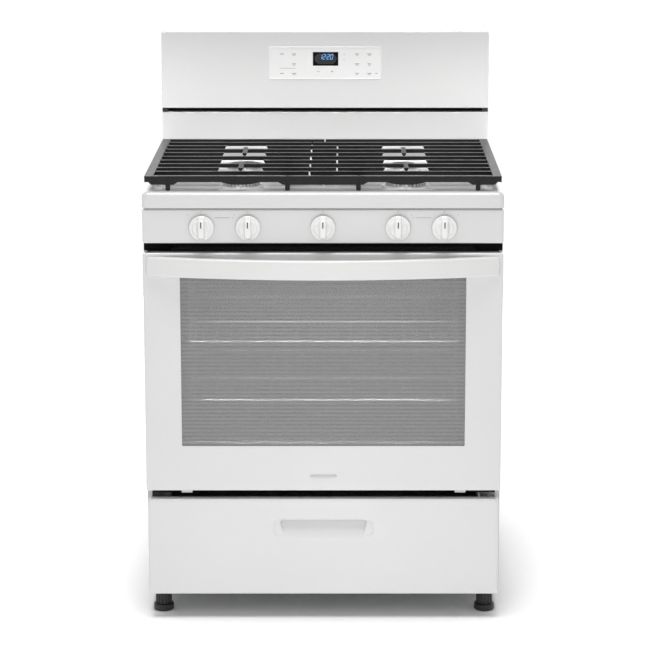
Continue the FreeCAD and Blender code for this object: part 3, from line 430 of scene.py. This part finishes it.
def spaced(low, high, step):
    """Even values from low to high, at most step apart."""
    count = max(1, math.ceil((high - low) / step - 1e-9))
    return [low + (high - low) * index / count for index in range(count + 1)]


def stations(*spans):
    """Sorted values from several (low, high, step) spans, without repeats."""
    values = sorted(value for low, high, step in spans for value in spaced(low, high, step))
    kept = [values[0]]
    for value in values:
        if value - kept[-1] > 1e-5:
            kept.append(value)
    return kept


def inside_rounded_box(x, z, half_x, half_z, radius):
    """How far a point lies inside a rounded rectangle round the origin; negative outside."""
    over_x = abs(x) - (half_x - radius)
    over_z = abs(z) - (half_z - radius)
    outside = math.hypot(max(over_x, 0), max(over_z, 0))
    return radius - outside - min(max(over_x, over_z), 0)


def quarter_round(depth, radius):
    """Setback of a rounded edge at a depth inside the rim."""
    if depth >= radius:
        return 0.0
    return radius - math.sqrt(max(0.0, radius * radius - (radius - depth) ** 2))


def pressed_solid(grid, back_y):
    """Solid behind a grid of front points, carried straight back to one plane."""
    rows, columns = len(grid), len(grid[0])
    points = [point for row in grid for point in row]
    faces = []
    for i in range(rows - 1):
        for j in range(columns - 1):
            corner = i * columns + j
            faces.append((corner, corner + 1, corner + columns + 1, corner + columns))
    rim = list(range(columns))
    rim += [i * columns + columns - 1 for i in range(1, rows)]
    rim += [(rows - 1) * columns + j for j in range(columns - 2, -1, -1)]
    rim += [i * columns for i in range(rows - 2, 0, -1)]
    first = len(points)
    points += [(points[index][0], back_y, points[index][2]) for index in rim]
    count = len(rim)
    for index in range(count):
        following = (index + 1) % count
        faces.append((rim[index], rim[following], first + following, first + index))
    faces.append(tuple(range(first, first + count)))
    return points, faces


def loft(rings):
    """Solid through closed rings of equal length, with flat ends."""
    count = len(rings[0])
    points = [point for ring in rings for point in ring]
    faces = []
    for i in range(len(rings) - 1):
        for j in range(count):
            near = i * count + j
            beside = i * count + (j + 1) % count
            faces.append((near, beside, beside + count, near + count))
    faces.append(tuple(range(count - 1, -1, -1)))
    faces.append(tuple(range((len(rings) - 1) * count, len(rings) * count)))
    return points, faces


def merged(parts):
    """Joins several (points, faces) pairs into one."""
    points, faces = [], []
    for part_points, part_faces in parts:
        first = len(points)
        points += part_points
        faces += [tuple(first + index for index in face) for face in part_faces]
    return points, faces


def prism(outline, place, low, high):
    """Flat shape of (x, z) points raised from one height to another on a face."""
    rings = [[place(x, z, height) for x, z in outline] for height in (low, high)]
    return loft(rings)


def pill_outline(low_x, high_x, low_z, high_z, steps=5):
    """Rounded bar outline."""
    radius = min(high_x - low_x, high_z - low_z) / 2
    corners = ((high_x - radius, high_z - radius, 0), (low_x + radius, high_z - radius, 90),
               (low_x + radius, low_z + radius, 180), (high_x - radius, low_z + radius, 270))
    outline = []
    for centre_x, centre_z, start in corners:
        for step in range(steps + 1):
            angle = math.radians(start + 90 * step / steps)
            outline.append((centre_x + radius * math.cos(angle), centre_z + radius * math.sin(angle)))
    return outline


def frame_strip(half_x, half_z, centre, radius, width, place, low, high):
    """Raised rounded-rectangle line round a centre; its top edges are chamfered."""
    centre_x, centre_z = centre
    arc_steps = 5
    least_corner = 0.0002
    shoulder = high * 0.7
    profile = [(0.0, low), (0.0, shoulder), (width * 0.25, high), (width * 0.75, high),
               (width, shoulder), (width, low)]
    loops = []
    for inset, height in profile:
        corner = max(radius - inset, least_corner)
        reach_x = half_x - inset - corner
        reach_z = half_z - inset - corner
        loop = []
        for sign_x, sign_z, start in ((1, 1, 0), (-1, 1, 90), (-1, -1, 180), (1, -1, 270)):
            for step in range(arc_steps + 1):
                angle = math.radians(start + 90 * step / arc_steps)
                x = centre_x + sign_x * reach_x + corner * math.cos(angle)
                z = centre_z + sign_z * reach_z + corner * math.sin(angle)
                loop.append(place(x, z, height))
        loops.append(loop)
    count = len(loops[0])
    points = [point for loop in loops for point in loop]
    faces = []
    for i in range(len(loops)):
        following = (i + 1) % len(loops)
        for j in range(count):
            beside = (j + 1) % count
            faces.append((i * count + j, i * count + beside, following * count + beside,
                          following * count + j))
    return points, faces


# ---------------------------------------------------------------- door handle
handle_edge = 0.0055            # rounding of the long edges
handle_crown = 0.0012           # bulge of the face
handle_back_chamfer = 0.0008
handle_corner = 0.004           # rounding of both ends
handle_end_depth = 0.006        # the ends stand this far off the door
handle_middle_depth = 0.015     # front to back at the middle
handle_foot = 0.034             # length of each end that rests on the door
handle_seam = 0.0003            # the free part starts this far off the door


def handle_section(front, back, low_z, high_z, inset):
    """Closed (y, z) outline of the handle: crowned face, soft front edges."""
    low_z, high_z, front = low_z + inset, high_z - inset, front + inset
    middle, half = (low_z + high_z) / 2, (high_z - low_z) / 2
    edge, crown, chamfer = handle_edge, handle_crown, handle_back_chamfer
    arc_steps, face_steps = 6, 8
    outline = []
    for step in range(arc_steps + 1):
        angle = math.radians(90 * step / arc_steps)
        y = front + crown + edge * (1 - math.sin(angle))
        outline.append((y, high_z - edge * (1 - math.cos(angle))))
    for step in range(1, face_steps):
        z = high_z - edge - (2 * (half - edge)) * step / face_steps
        outline.append((front + crown * ((z - middle) / (half - edge)) ** 2, z))
    for step in range(arc_steps + 1):
        angle = math.radians(90 - 90 * step / arc_steps)
        y = front + crown + edge * (1 - math.sin(angle))
        outline.append((y, low_z + edge * (1 - math.cos(angle))))
    back = max(back, front + crown + edge + 0.0004)
    outline += [(back - chamfer, low_z), (back, low_z + chamfer), (back, high_z - chamfer),
                (back - chamfer, high_z)]
    return outline


def add_handle():
    """Bowed full-width handle whose ends run into the door."""
    low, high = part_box("door_handle")
    half = high.x
    door_face = high.y
    end_front = door_face - handle_end_depth
    bow = end_front - low.y
    free_half = half - handle_foot
    free_back = door_face - handle_seam
    free_bow = free_back - (low.y + handle_middle_depth)
    corner = handle_corner
    rings = []
    for x in stations((-half, -half + corner, 0.0005), (-half + corner, -free_half - 0.004, 0.006),
                      (-free_half - 0.004, -free_half + 0.02, 0.002),
                      (-free_half + 0.02, free_half - 0.02, 0.012),
                      (free_half - 0.02, free_half + 0.004, 0.002),
                      (free_half + 0.004, half - corner, 0.006), (half - corner, half, 0.0005)):
        front = end_front - bow * (1 - (x / half) ** 2)
        back = door_face
        if abs(x) < free_half:
            back = free_back - free_bow * (1 - (x / free_half) ** 2)
        inset = quarter_round(half - abs(x), corner)
        rings.append([(x, y, z) for y, z in handle_section(front, back, low.z, high.z, inset)])
    points, faces = loft(rings)
    add_piece("bow_handle", points, faces, "door", "white_plastic", ["door_handle"], sharp=40)


# ---------------------------------------------------------------- drawer front
dish_middle_z = 0.205
dish_half_x = 0.109
dish_half_z = 0.0225
dish_depth = 0.0028
pocket_middle_z = 0.2045
pocket_half_x = 0.0885          # at the foot of the pocket
pocket_flare = 0.006            # how much wider it is on each side at the top
pocket_half_z = 0.0175
pocket_foot_z = 0.1875          # the pocket deepens from here
pocket_height = 0.033
pocket_shallow = 0.0015
pocket_deepening = 0.0105


def pull_depth(x, z):
    """Depth of the pressed finger pull: shallow dish, then a pocket that deepens upwards."""
    dish = inside_rounded_box(x, z - dish_middle_z, dish_half_x, dish_half_z, 0.016)
    rise = min(1.0, max(0.0, (z - pocket_foot_z) / pocket_height))
    half_x = pocket_half_x + pocket_flare * rise
    pocket = inside_rounded_box(x, z - pocket_middle_z, half_x, pocket_half_z, 0.009)
    wall = 0.0022 + 0.004 * (1 - rise)
    pocket_depth = (pocket_shallow + pocket_deepening * rise ** 1.5) * ease(pocket / wall)
    return dish_depth * ease(dish / 0.006) + pocket_depth


def add_drawer_front():
    """Pressed drawer front with rolled edges and a soft finger pull."""
    low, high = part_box("drawer_front")
    half_x = high.x
    edge, corner = 0.005, 0.009
    # The mesh is finer along the edges and across the pull's walls.
    pull_inner_x, pull_outer_x = 0.082, 0.113
    pull_low_z, pull_high_z = 0.181, 0.229
    x_values = stations((-half_x, -half_x + edge, 0.0006), (-half_x + edge, -half_x + corner, 0.002),
                        (-half_x + corner, -pull_outer_x, 0.02),
                        (-pull_outer_x, -pull_inner_x, 0.0012), (-pull_inner_x, pull_inner_x, 0.012),
                        (pull_inner_x, pull_outer_x, 0.0012), (pull_outer_x, half_x - corner, 0.02),
                        (half_x - corner, half_x - edge, 0.002), (half_x - edge, half_x, 0.0006))
    z_values = stations((low.z, low.z + edge, 0.0006), (low.z + edge, pull_low_z, 0.015),
                        (pull_low_z, pull_high_z, 0.0009), (pull_high_z, high.z - corner, 0.008),
                        (high.z - corner, high.z - edge, 0.001), (high.z - edge, high.z, 0.0006))
    grid = []
    for x in x_values:
        row = []
        for z in z_values:
            side = math.copysign(1, x)
            across = (abs(x) - (half_x - corner)) / corner
            upward = (z - (high.z - corner)) / corner
            if across > 0 and upward > 0:
                pull_in = max(across, upward) / math.hypot(across, upward)
                place_x = side * (half_x - corner + corner * across * pull_in)
                place_z = high.z - corner + corner * upward * pull_in
                depth = corner * (1 - max(across, upward))
            else:
                place_x, place_z = x, z
                depth = min(half_x - abs(x), z - low.z, high.z - z)
            setback = quarter_round(depth, edge) + pull_depth(place_x, place_z)
            row.append((place_x, low.y + setback, place_z))
        grid.append(row)
    points, faces = pressed_solid(grid, high.y)
    add_piece("pressed_drawer_front", points, faces, "drawer", "white_enamel", ["drawer_front"],
              sharp=50)


# ---------------------------------------------------------------- knobs
skirt_height = 0.0052
skirt_edge = 0.0035             # rounding of the skirt's rim
drum_height = 0.0052            # of the drum above the skirt
drum_radius = 0.0205
scoop_depth = 0.0024            # hollow in the drum on both sides of the grip
scoop_radius = 0.0175
grip_height = 0.0141            # of the grip above the drum
grip_half_width = 0.0079
grip_reach = 0.0243             # from the middle to each end
knob_setback = 0.0038           # room behind the skirt, so that a pushed knob clears the panel
pointer_half_width = 0.0011
pointer_low = 0.0035
pointer_high = 0.0165


def knob_height(x, z, radius):
    """Height of the knob's face above its skirt's back: skirt, raised drum and upright grip."""
    distance = math.hypot(x, z)
    height = skirt_height - quarter_round(radius - distance, skirt_edge) * 0.9
    height += drum_height * ease((drum_radius - distance) / 0.0032)
    scoop = scoop_depth * ease((scoop_radius - distance) / 0.012)
    height -= scoop * ease((abs(x) - 0.0075) / 0.003)
    grip_half = grip_half_width - 0.0008 * (z / radius) ** 2
    side = ease((grip_half - abs(x)) / 0.0021)
    end = ease((grip_reach - abs(z)) / 0.0042)
    crown = 0.0012 * (x / grip_half) ** 2 + 0.003 * (z / 0.023) ** 4
    return height + (grip_height - crown) * side * end


def add_knob(name):
    """One control knob with its pointer line."""
    node = "knob_" + name
    low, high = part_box(node)
    radius = (high.x - low.x) / 2
    centre_x, centre_z = (low.x + high.x) / 2, (low.z + high.z) / 2
    back_y = high.y - knob_setback
    fine = 0.0105
    side_steps, half_steps = 12, 24
    x_values = stations((-fine, -0.005, 0.0005), (-0.005, 0.005, 0.002), (0.005, fine, 0.0005))
    for step in range(1, side_steps + 1):
        x = fine + (radius - fine) * math.sin(math.pi / 2 * step / side_steps)
        x_values = [-x] + x_values + [x]
    grid = []
    for x in x_values:
        reach = math.sqrt(max(0.0, radius * radius - x * x))
        row = []
        for step in range(2 * half_steps + 1):
            z = reach * math.sin(math.pi / 2 * (step / half_steps - 1))
            y = back_y - knob_height(x, z, radius)
            row.append((centre_x + x, y, centre_z + z))
        grid.append(row)
    points, faces = pressed_solid(grid, back_y)
    add_piece("grip_" + name, points, faces, node, "white_plastic", [node], sharp=60,
              finish="knob_plastic")

    def on_grip(x, z, height):
        """Point over the knob's face."""
        return (centre_x + x, back_y - knob_height(x, z, radius) - height, centre_z + z)

    outline = pill_outline(-pointer_half_width, pointer_half_width, pointer_low, pointer_high)
    points, faces = prism(outline, on_grip, -0.0003, 0.0006)
    add_piece("pointer_" + name, points, faces, node, "black_plastic")


# ---------------------------------------------------------------- printed marks
print_sink = -0.0001            # printed marks reach this far into the panel
print_rise = 0.00012
key_columns = (-0.100, -0.072, 0.074, 0.1025)
key_rows = (1.156, 1.133, 1.111)
round_key_xs = (-0.016, 0.016)
round_key_z = 1.1155
round_key_radius = 0.0103


def on_panel(x, z, height):
    """Point on the control panel's face."""
    return (x, panel_face_y - height, z)


def on_console(x, z, height):
    """Point on the leaning console's face."""
    lean = (z - console_low.z) / (console_high.z - console_low.z)
    return (x, console_low.y + console_lean * lean - height, z)


def add_panel_marks():
    """Dots, settings arcs and burner lines printed round the knobs."""
    parts = []
    for name in knob_names:
        low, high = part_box("knob_" + name)
        x, z = (low.x + high.x) / 2, (low.z + high.z) / 2
        marks = [(x - 0.0011, x + 0.0011, z + 0.0325, z + 0.0347)]
        for offset in (-0.0062, -0.0028, 0.0008, 0.0046):
            marks.append((x + offset, x + offset + 0.0022, z + 0.0279, z + 0.0288))
        side = -1 if x < 0 else 1
        if name != "centre":
            dot = x + side * 0.0285
            marks.append((dot - 0.0009, dot + 0.0009, z + 0.0262, z + 0.028))
        parts += [prism(pill_outline(*mark), on_panel, print_sink, print_rise) for mark in marks]
    for side in (-1, 1):
        for inner, outer in ((0.1945, 0.2265), (0.187, 0.1905)):
            low_x, high_x = sorted((side * inner, side * outer))
            outline = pill_outline(low_x, high_x, 0.8806, 0.8816)
            parts.append(prism(outline, on_panel, print_sink, print_rise))
    points, faces = merged(parts)
    add_piece("panel_marks", points, faces, "cabinet", "black_plastic", finish="grey_print")


def add_keypad():
    """Raised bezel, key legends as plain dashes and two round keys."""
    low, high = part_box("key_membrane")
    middle = ((low.x + high.x) / 2, (low.z + high.z) / 2)
    half_x, half_z = (high.x - low.x) / 2, (high.z - low.z) / 2
    overlap = 0.0018
    parts = [frame_strip(half_x + overlap, half_z + overlap, middle, 0.004, 0.0026, on_console,
                         0.0, 0.0016)]
    for x in round_key_xs:
        parts.append(frame_strip(round_key_radius, round_key_radius, (x, round_key_z), 0.01, 0.0014,
                                 on_console, 0.0006, 0.0013))
    points, faces = merged(parts)
    add_piece("keypad_bezel", points, faces, "cabinet", "white_film")

    legends = []
    for row, z in enumerate(key_rows):
        for column, x in enumerate(key_columns):
            if row == 1 and column == 0:
                continue
            half = 0.0052 if (row + column) % 2 else 0.0042
            legends.append((x - half, x + half, z - 0.0009, z + 0.0009))
            if column != 0:
                legends.append((x - half * 0.6, x + half * 0.6, z - 0.0038, z - 0.0026))
    # A side mark, an underline, two indicator ticks, and the minus and plus of the round keys.
    legends.append((0.1165, 0.1215, 1.1101, 1.1119))
    legends.append((-0.105, -0.068, 1.1225, 1.1233))
    for z in (1.155, 1.143):
        legends.append((0.0425, 0.0455, z - 0.0006, z + 0.0006))
    for x in round_key_xs:
        legends.append((x - 0.0028, x + 0.0028, 1.1148, 1.116))
    legends.append((0.0154, 0.0166, 1.1126, 1.1182))
    outlines = [pill_outline(*legend) for legend in legends]
    points, faces = merged([prism(outline, on_console, 0.0007, 0.00092) for outline in outlines])
    add_piece("key_legends", points, faces, "cabinet", "black_plastic", finish="grey_print")


digit_segments = {"0": "abcdef", "1": "bc", "2": "abged"}
digit_width = 0.0052
digit_height = 0.0112
digit_stroke = 0.0015
digit_lean = 0.16               # sideways shift for each unit of height
clock_left = -0.0135
clock_base = 1.1437


def segment_outlines(character, left, base, width, height, stroke):
    """Seven-segment strokes of one digit, as (x, z) outlines leaning to the right."""
    middle, top, right = base + height / 2, base + height, left + width
    ends = {
        "a": ((left, top), (right, top)), "g": ((left, middle), (right, middle)),
        "d": ((left, base), (right, base)), "f": ((left, middle), (left, top)),
        "b": ((right, middle), (right, top)), "e": ((left, base), (left, middle)),
        "c": ((right, base), (right, middle)),
    }
    outlines = []
    for segment in digit_segments[character]:
        (x0, z0), (x1, z1) = ends[segment]
        along = Vector((x1 - x0, z1 - z0)).normalized()
        across = Vector((-along.y, along.x)) * stroke / 2
        start = Vector((x0, z0)) + along * stroke * 0.15
        end = Vector((x1, z1)) - along * stroke * 0.15
        nose = along * stroke / 2
        outline = [start, start + nose + across, end - nose + across, end, end - nose - across,
                   start + nose - across]
        outlines.append([(point.x + (point.y - base) * digit_lean, point.y) for point in outline])
    return outlines


def add_clock():
    """Lit display field with slanted digits."""
    points, faces = prism(pill_outline(-0.0243, 0.0263, 1.1325, 1.1568), on_console, 0.0004, 0.00068)
    add_piece("display_field", points, faces, "cabinet", "display_lens", finish="display_field")
    outlines = []
    for character, offset in (("1", 0.0), ("2", 0.0078), ("2", 0.0172), ("0", 0.0250)):
        outlines += segment_outlines(character, clock_left + offset, clock_base, digit_width,
                                     digit_height, digit_stroke)
    colon_radius = 0.0007
    for z in (clock_base + 0.0035, clock_base + 0.0078):
        x = clock_left + 0.0151 + (z - clock_base) * digit_lean
        outlines.append(pill_outline(x - colon_radius, x + colon_radius, z - colon_radius,
                                     z + colon_radius))
    points, faces = merged([prism(outline, on_console, 0.0006, 0.00085) for outline in outlines])
    add_piece("clock_digits", points, faces, "cabinet", "display_lens", finish="lit_digits")


def add_badge():
    """Plain pill-shaped badge low on the door."""
    door_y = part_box("door_panel")[0].y

    def on_door(x, z, height):
        """Point on the door's face."""
        return (x, door_y - height, z)

    outline = pill_outline(-0.029, 0.029, 0.3172, 0.3238, 8)
    inner = pill_outline(-0.0284, 0.0284, 0.3178, 0.3232, 8)
    layers = ((outline, -0.0002), (outline, 0.0006), (inner, 0.001))
    rings = [[on_door(x, z, height) for x, z in shape] for shape, height in layers]
    points, faces = loft(rings)
    add_piece("plain_badge", points, faces, "door", "screw_steel", finish="badge_metal")


# ---------------------------------------------------------------- rear details
def screw_head(centre_x, centre_z, back_y, proud):
    """Pan head with a cross recess, facing the back."""
    radius = 0.0045
    half_steps = 10
    grid = []
    for i in range(2 * half_steps + 1):
        x = radius * math.sin(math.pi / 2 * (i / half_steps - 1))
        reach = math.sqrt(max(0.0, radius * radius - x * x))
        row = []
        for j in range(2 * half_steps + 1):
            z = reach * math.sin(math.pi / 2 * (j / half_steps - 1))
            distance = math.hypot(x, z)
            height = proud - quarter_round(radius - distance, 0.0016)
            arm = min(abs(x), abs(z))
            cross = ease((0.00095 - arm) / 0.0004) * ease((0.0028 - distance) / 0.0006)
            row.append((centre_x + x, back_y + height - 0.9 * proud * 0.6 * cross, centre_z + z))
        grid.append(row)
    return pressed_solid(grid, back_y)


def add_screws():
    """Screws of the rear panel and the backguard cover."""
    panel_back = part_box("rear_panel")[1].y
    cover_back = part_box("backguard_cover")[1].y
    parts = []
    for x in (-0.362, -0.18, 0.0, 0.18, 0.362):
        for z in (0.11, 0.5, 0.845):
            if abs(x) < 0.2 and z == 0.5:
                continue
            parts.append(screw_head(x, z, panel_back, 0.0024))
    for x in (-0.362, 0.0, 0.362):
        for z in (1.0, 1.19):
            parts.append(screw_head(x, z, cover_back, 0.0016))
    points, faces = merged(parts)
    add_piece("panel_screws", points, faces, "cabinet", "screw_steel", ["cabinet_screws"], sharp=50)


def bead(low_x, high_x, low_z, high_z, base_y, height):
    """Long pressed bead on the rear sheet."""
    steps = 5
    slope = 0.006
    sunk = 0.0002
    rings = []
    for step in range(steps + 1):
        share = step / steps
        inset = slope * share
        outline = pill_outline(low_x + inset, high_x - inset, low_z + inset, high_z - inset, 6)
        level = base_y - sunk + (height + sunk) * math.sin(math.pi / 2 * share)
        rings.append([(x, level, z) for x, z in outline])
    return loft(rings)


def add_rear_beads():
    """Stiffening beads pressed into the rear panel."""
    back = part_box("rear_panel")[1].y
    half_width = 0.011
    height = 0.0022
    parts = []
    for x in (-0.26, 0.0, 0.215):
        parts.append(bead(x - half_width, x + half_width, 0.24, 0.56, back, height))
    for z in (0.72, 0.78):
        parts.append(bead(-0.30, 0.30, z - half_width, z + half_width, back, height))
    points, faces = merged(parts)
    add_piece("rear_beads", points, faces, "cabinet", "galvanised_steel")


def soften(node, width, segments):
    """Rounds a CAD node's sharp edges for the light, without changing its mesh."""
    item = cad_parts[node]
    weld = item.modifiers.new("weld", "WELD")
    weld.merge_threshold = 0.00001
    bevel = item.modifiers.new("soft_edges", "BEVEL")
    bevel.width = width
    bevel.segments = segments
    bevel.limit_method = "ANGLE"
    bevel.angle_limit = math.radians(40)
    bevel.harden_normals = True


console_low, console_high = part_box("console_panel")
console_lean = 0.006
panel_face_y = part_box("control_panel")[0].y

add_handle()
add_drawer_front()
for knob_name in knob_names:
    add_knob(knob_name)
add_panel_marks()
add_keypad()
add_clock()
add_badge()
add_screws()
add_rear_beads()
grate_edge = 0.0022
for grate in ("grate_left", "grate_right"):
    soften(grate, grate_edge, 3)


# ---------------------------------------------------------------- stage, lights and camera
def add_floor():
    """Wide pale floor that fades into the white surroundings."""
    mesh = bpy.data.meshes.new("floor")
    reach = 60.0
    corners = [(-reach, -reach, 0), (reach, -reach, 0), (reach, reach, 0), (-reach, reach, 0)]
    mesh.from_pydata(corners, [], [(0, 1, 2, 3)])
    floor = bpy.data.objects.new("floor", mesh)
    scene.collection.objects.link(floor)
    finish = Finish("floor", grey(0.97), 0.8)
    finish.colour(finish.noise(2.0, 2), grey(0.96), grey(0.98))
    finish.specular(0.1)
    paint(floor, finish)


def add_area(name, place, target, size, power, spread=180, glossy=True):
    """Soft rectangular light aimed at a point.

    spread is its cone in degrees, and glossy says whether reflections show it.
    """
    data = bpy.data.lights.new(name, "AREA")
    data.shape = "RECTANGLE"
    data.size, data.size_y = size
    data.energy = power
    data.spread = math.radians(spread)
    light = bpy.data.objects.new(name, data)
    light.location = place
    light.rotation_euler = (Vector(target) - Vector(place)).to_track_quat("-Z", "Y").to_euler()
    light.visible_camera = False
    light.visible_glossy = glossy
    scene.collection.objects.link(light)


def add_world():
    """Even white surroundings."""
    world = bpy.data.worlds.new("studio")
    world.use_nodes = True
    background = world.node_tree.nodes["Background"]
    background.inputs["Color"].default_value = (1, 1, 1, 1)
    background.inputs["Strength"].default_value = 0.42
    scene.world = world


def add_camera():
    """Long lens in front of the range, a little above it and tipped down."""
    data = bpy.data.cameras.new("camera")
    data.sensor_width = 36.0
    data.lens = 133.13
    data.shift_x = -0.034
    data.shift_y = -0.1
    data.clip_end = 200.0
    camera = bpy.data.objects.new("camera", data)
    camera.location = (0.046, -5.217, 1.7815)
    camera.rotation_euler = (math.radians(90 - 11.36), 0, 0)
    scene.collection.objects.link(camera)
    scene.camera = camera


def add_sun(name, direction, strength, spread):
    """Distant light that falls along a direction; spread is its width in degrees."""
    data = bpy.data.lights.new(name, "SUN")
    data.energy = strength
    data.angle = math.radians(spread)
    light = bpy.data.objects.new(name, data)
    light.rotation_euler = Vector(direction).to_track_quat("-Z", "Y").to_euler()
    scene.collection.objects.link(light)


add_floor()
add_world()
# One broad sun, and small lights that serve an area each: the fronts, the recess under the grates'
# front rail, the backguard, the rear and the oven.
add_sun("overhead", (0.03, 0.12, -1), 2.1, 25)
add_area("front_strip", (0.0, -1.25, 0.6), (0, 0, 0.6), (0.2, 1.2), 2.9, glossy=False)
add_area("recess_strip", (0.0, -0.235, 0.953), (0, -0.25, 0.9), (0.66, 0.015), 0.12, 130, glossy=False)
add_area("guard_strip", (0.0, -0.5, 1.45), (0, 0.3, 0.95), (1.2, 0.1), 0.9, 40)
add_area("back_wall", (0.0, 3.0, 1.25), (0, 0, 1.25), (6.0, 2.4), 48.0)
add_area("oven_light", (0.0, -0.1, 0.77), (0, 0.0, 0.4), (0.5, 0.2), 2.2)
add_area("rail_light", (0.0, -0.262, 0.775), (0, -0.262, 0.4), (0.56, 0.012), 0.5, 30)
add_camera()
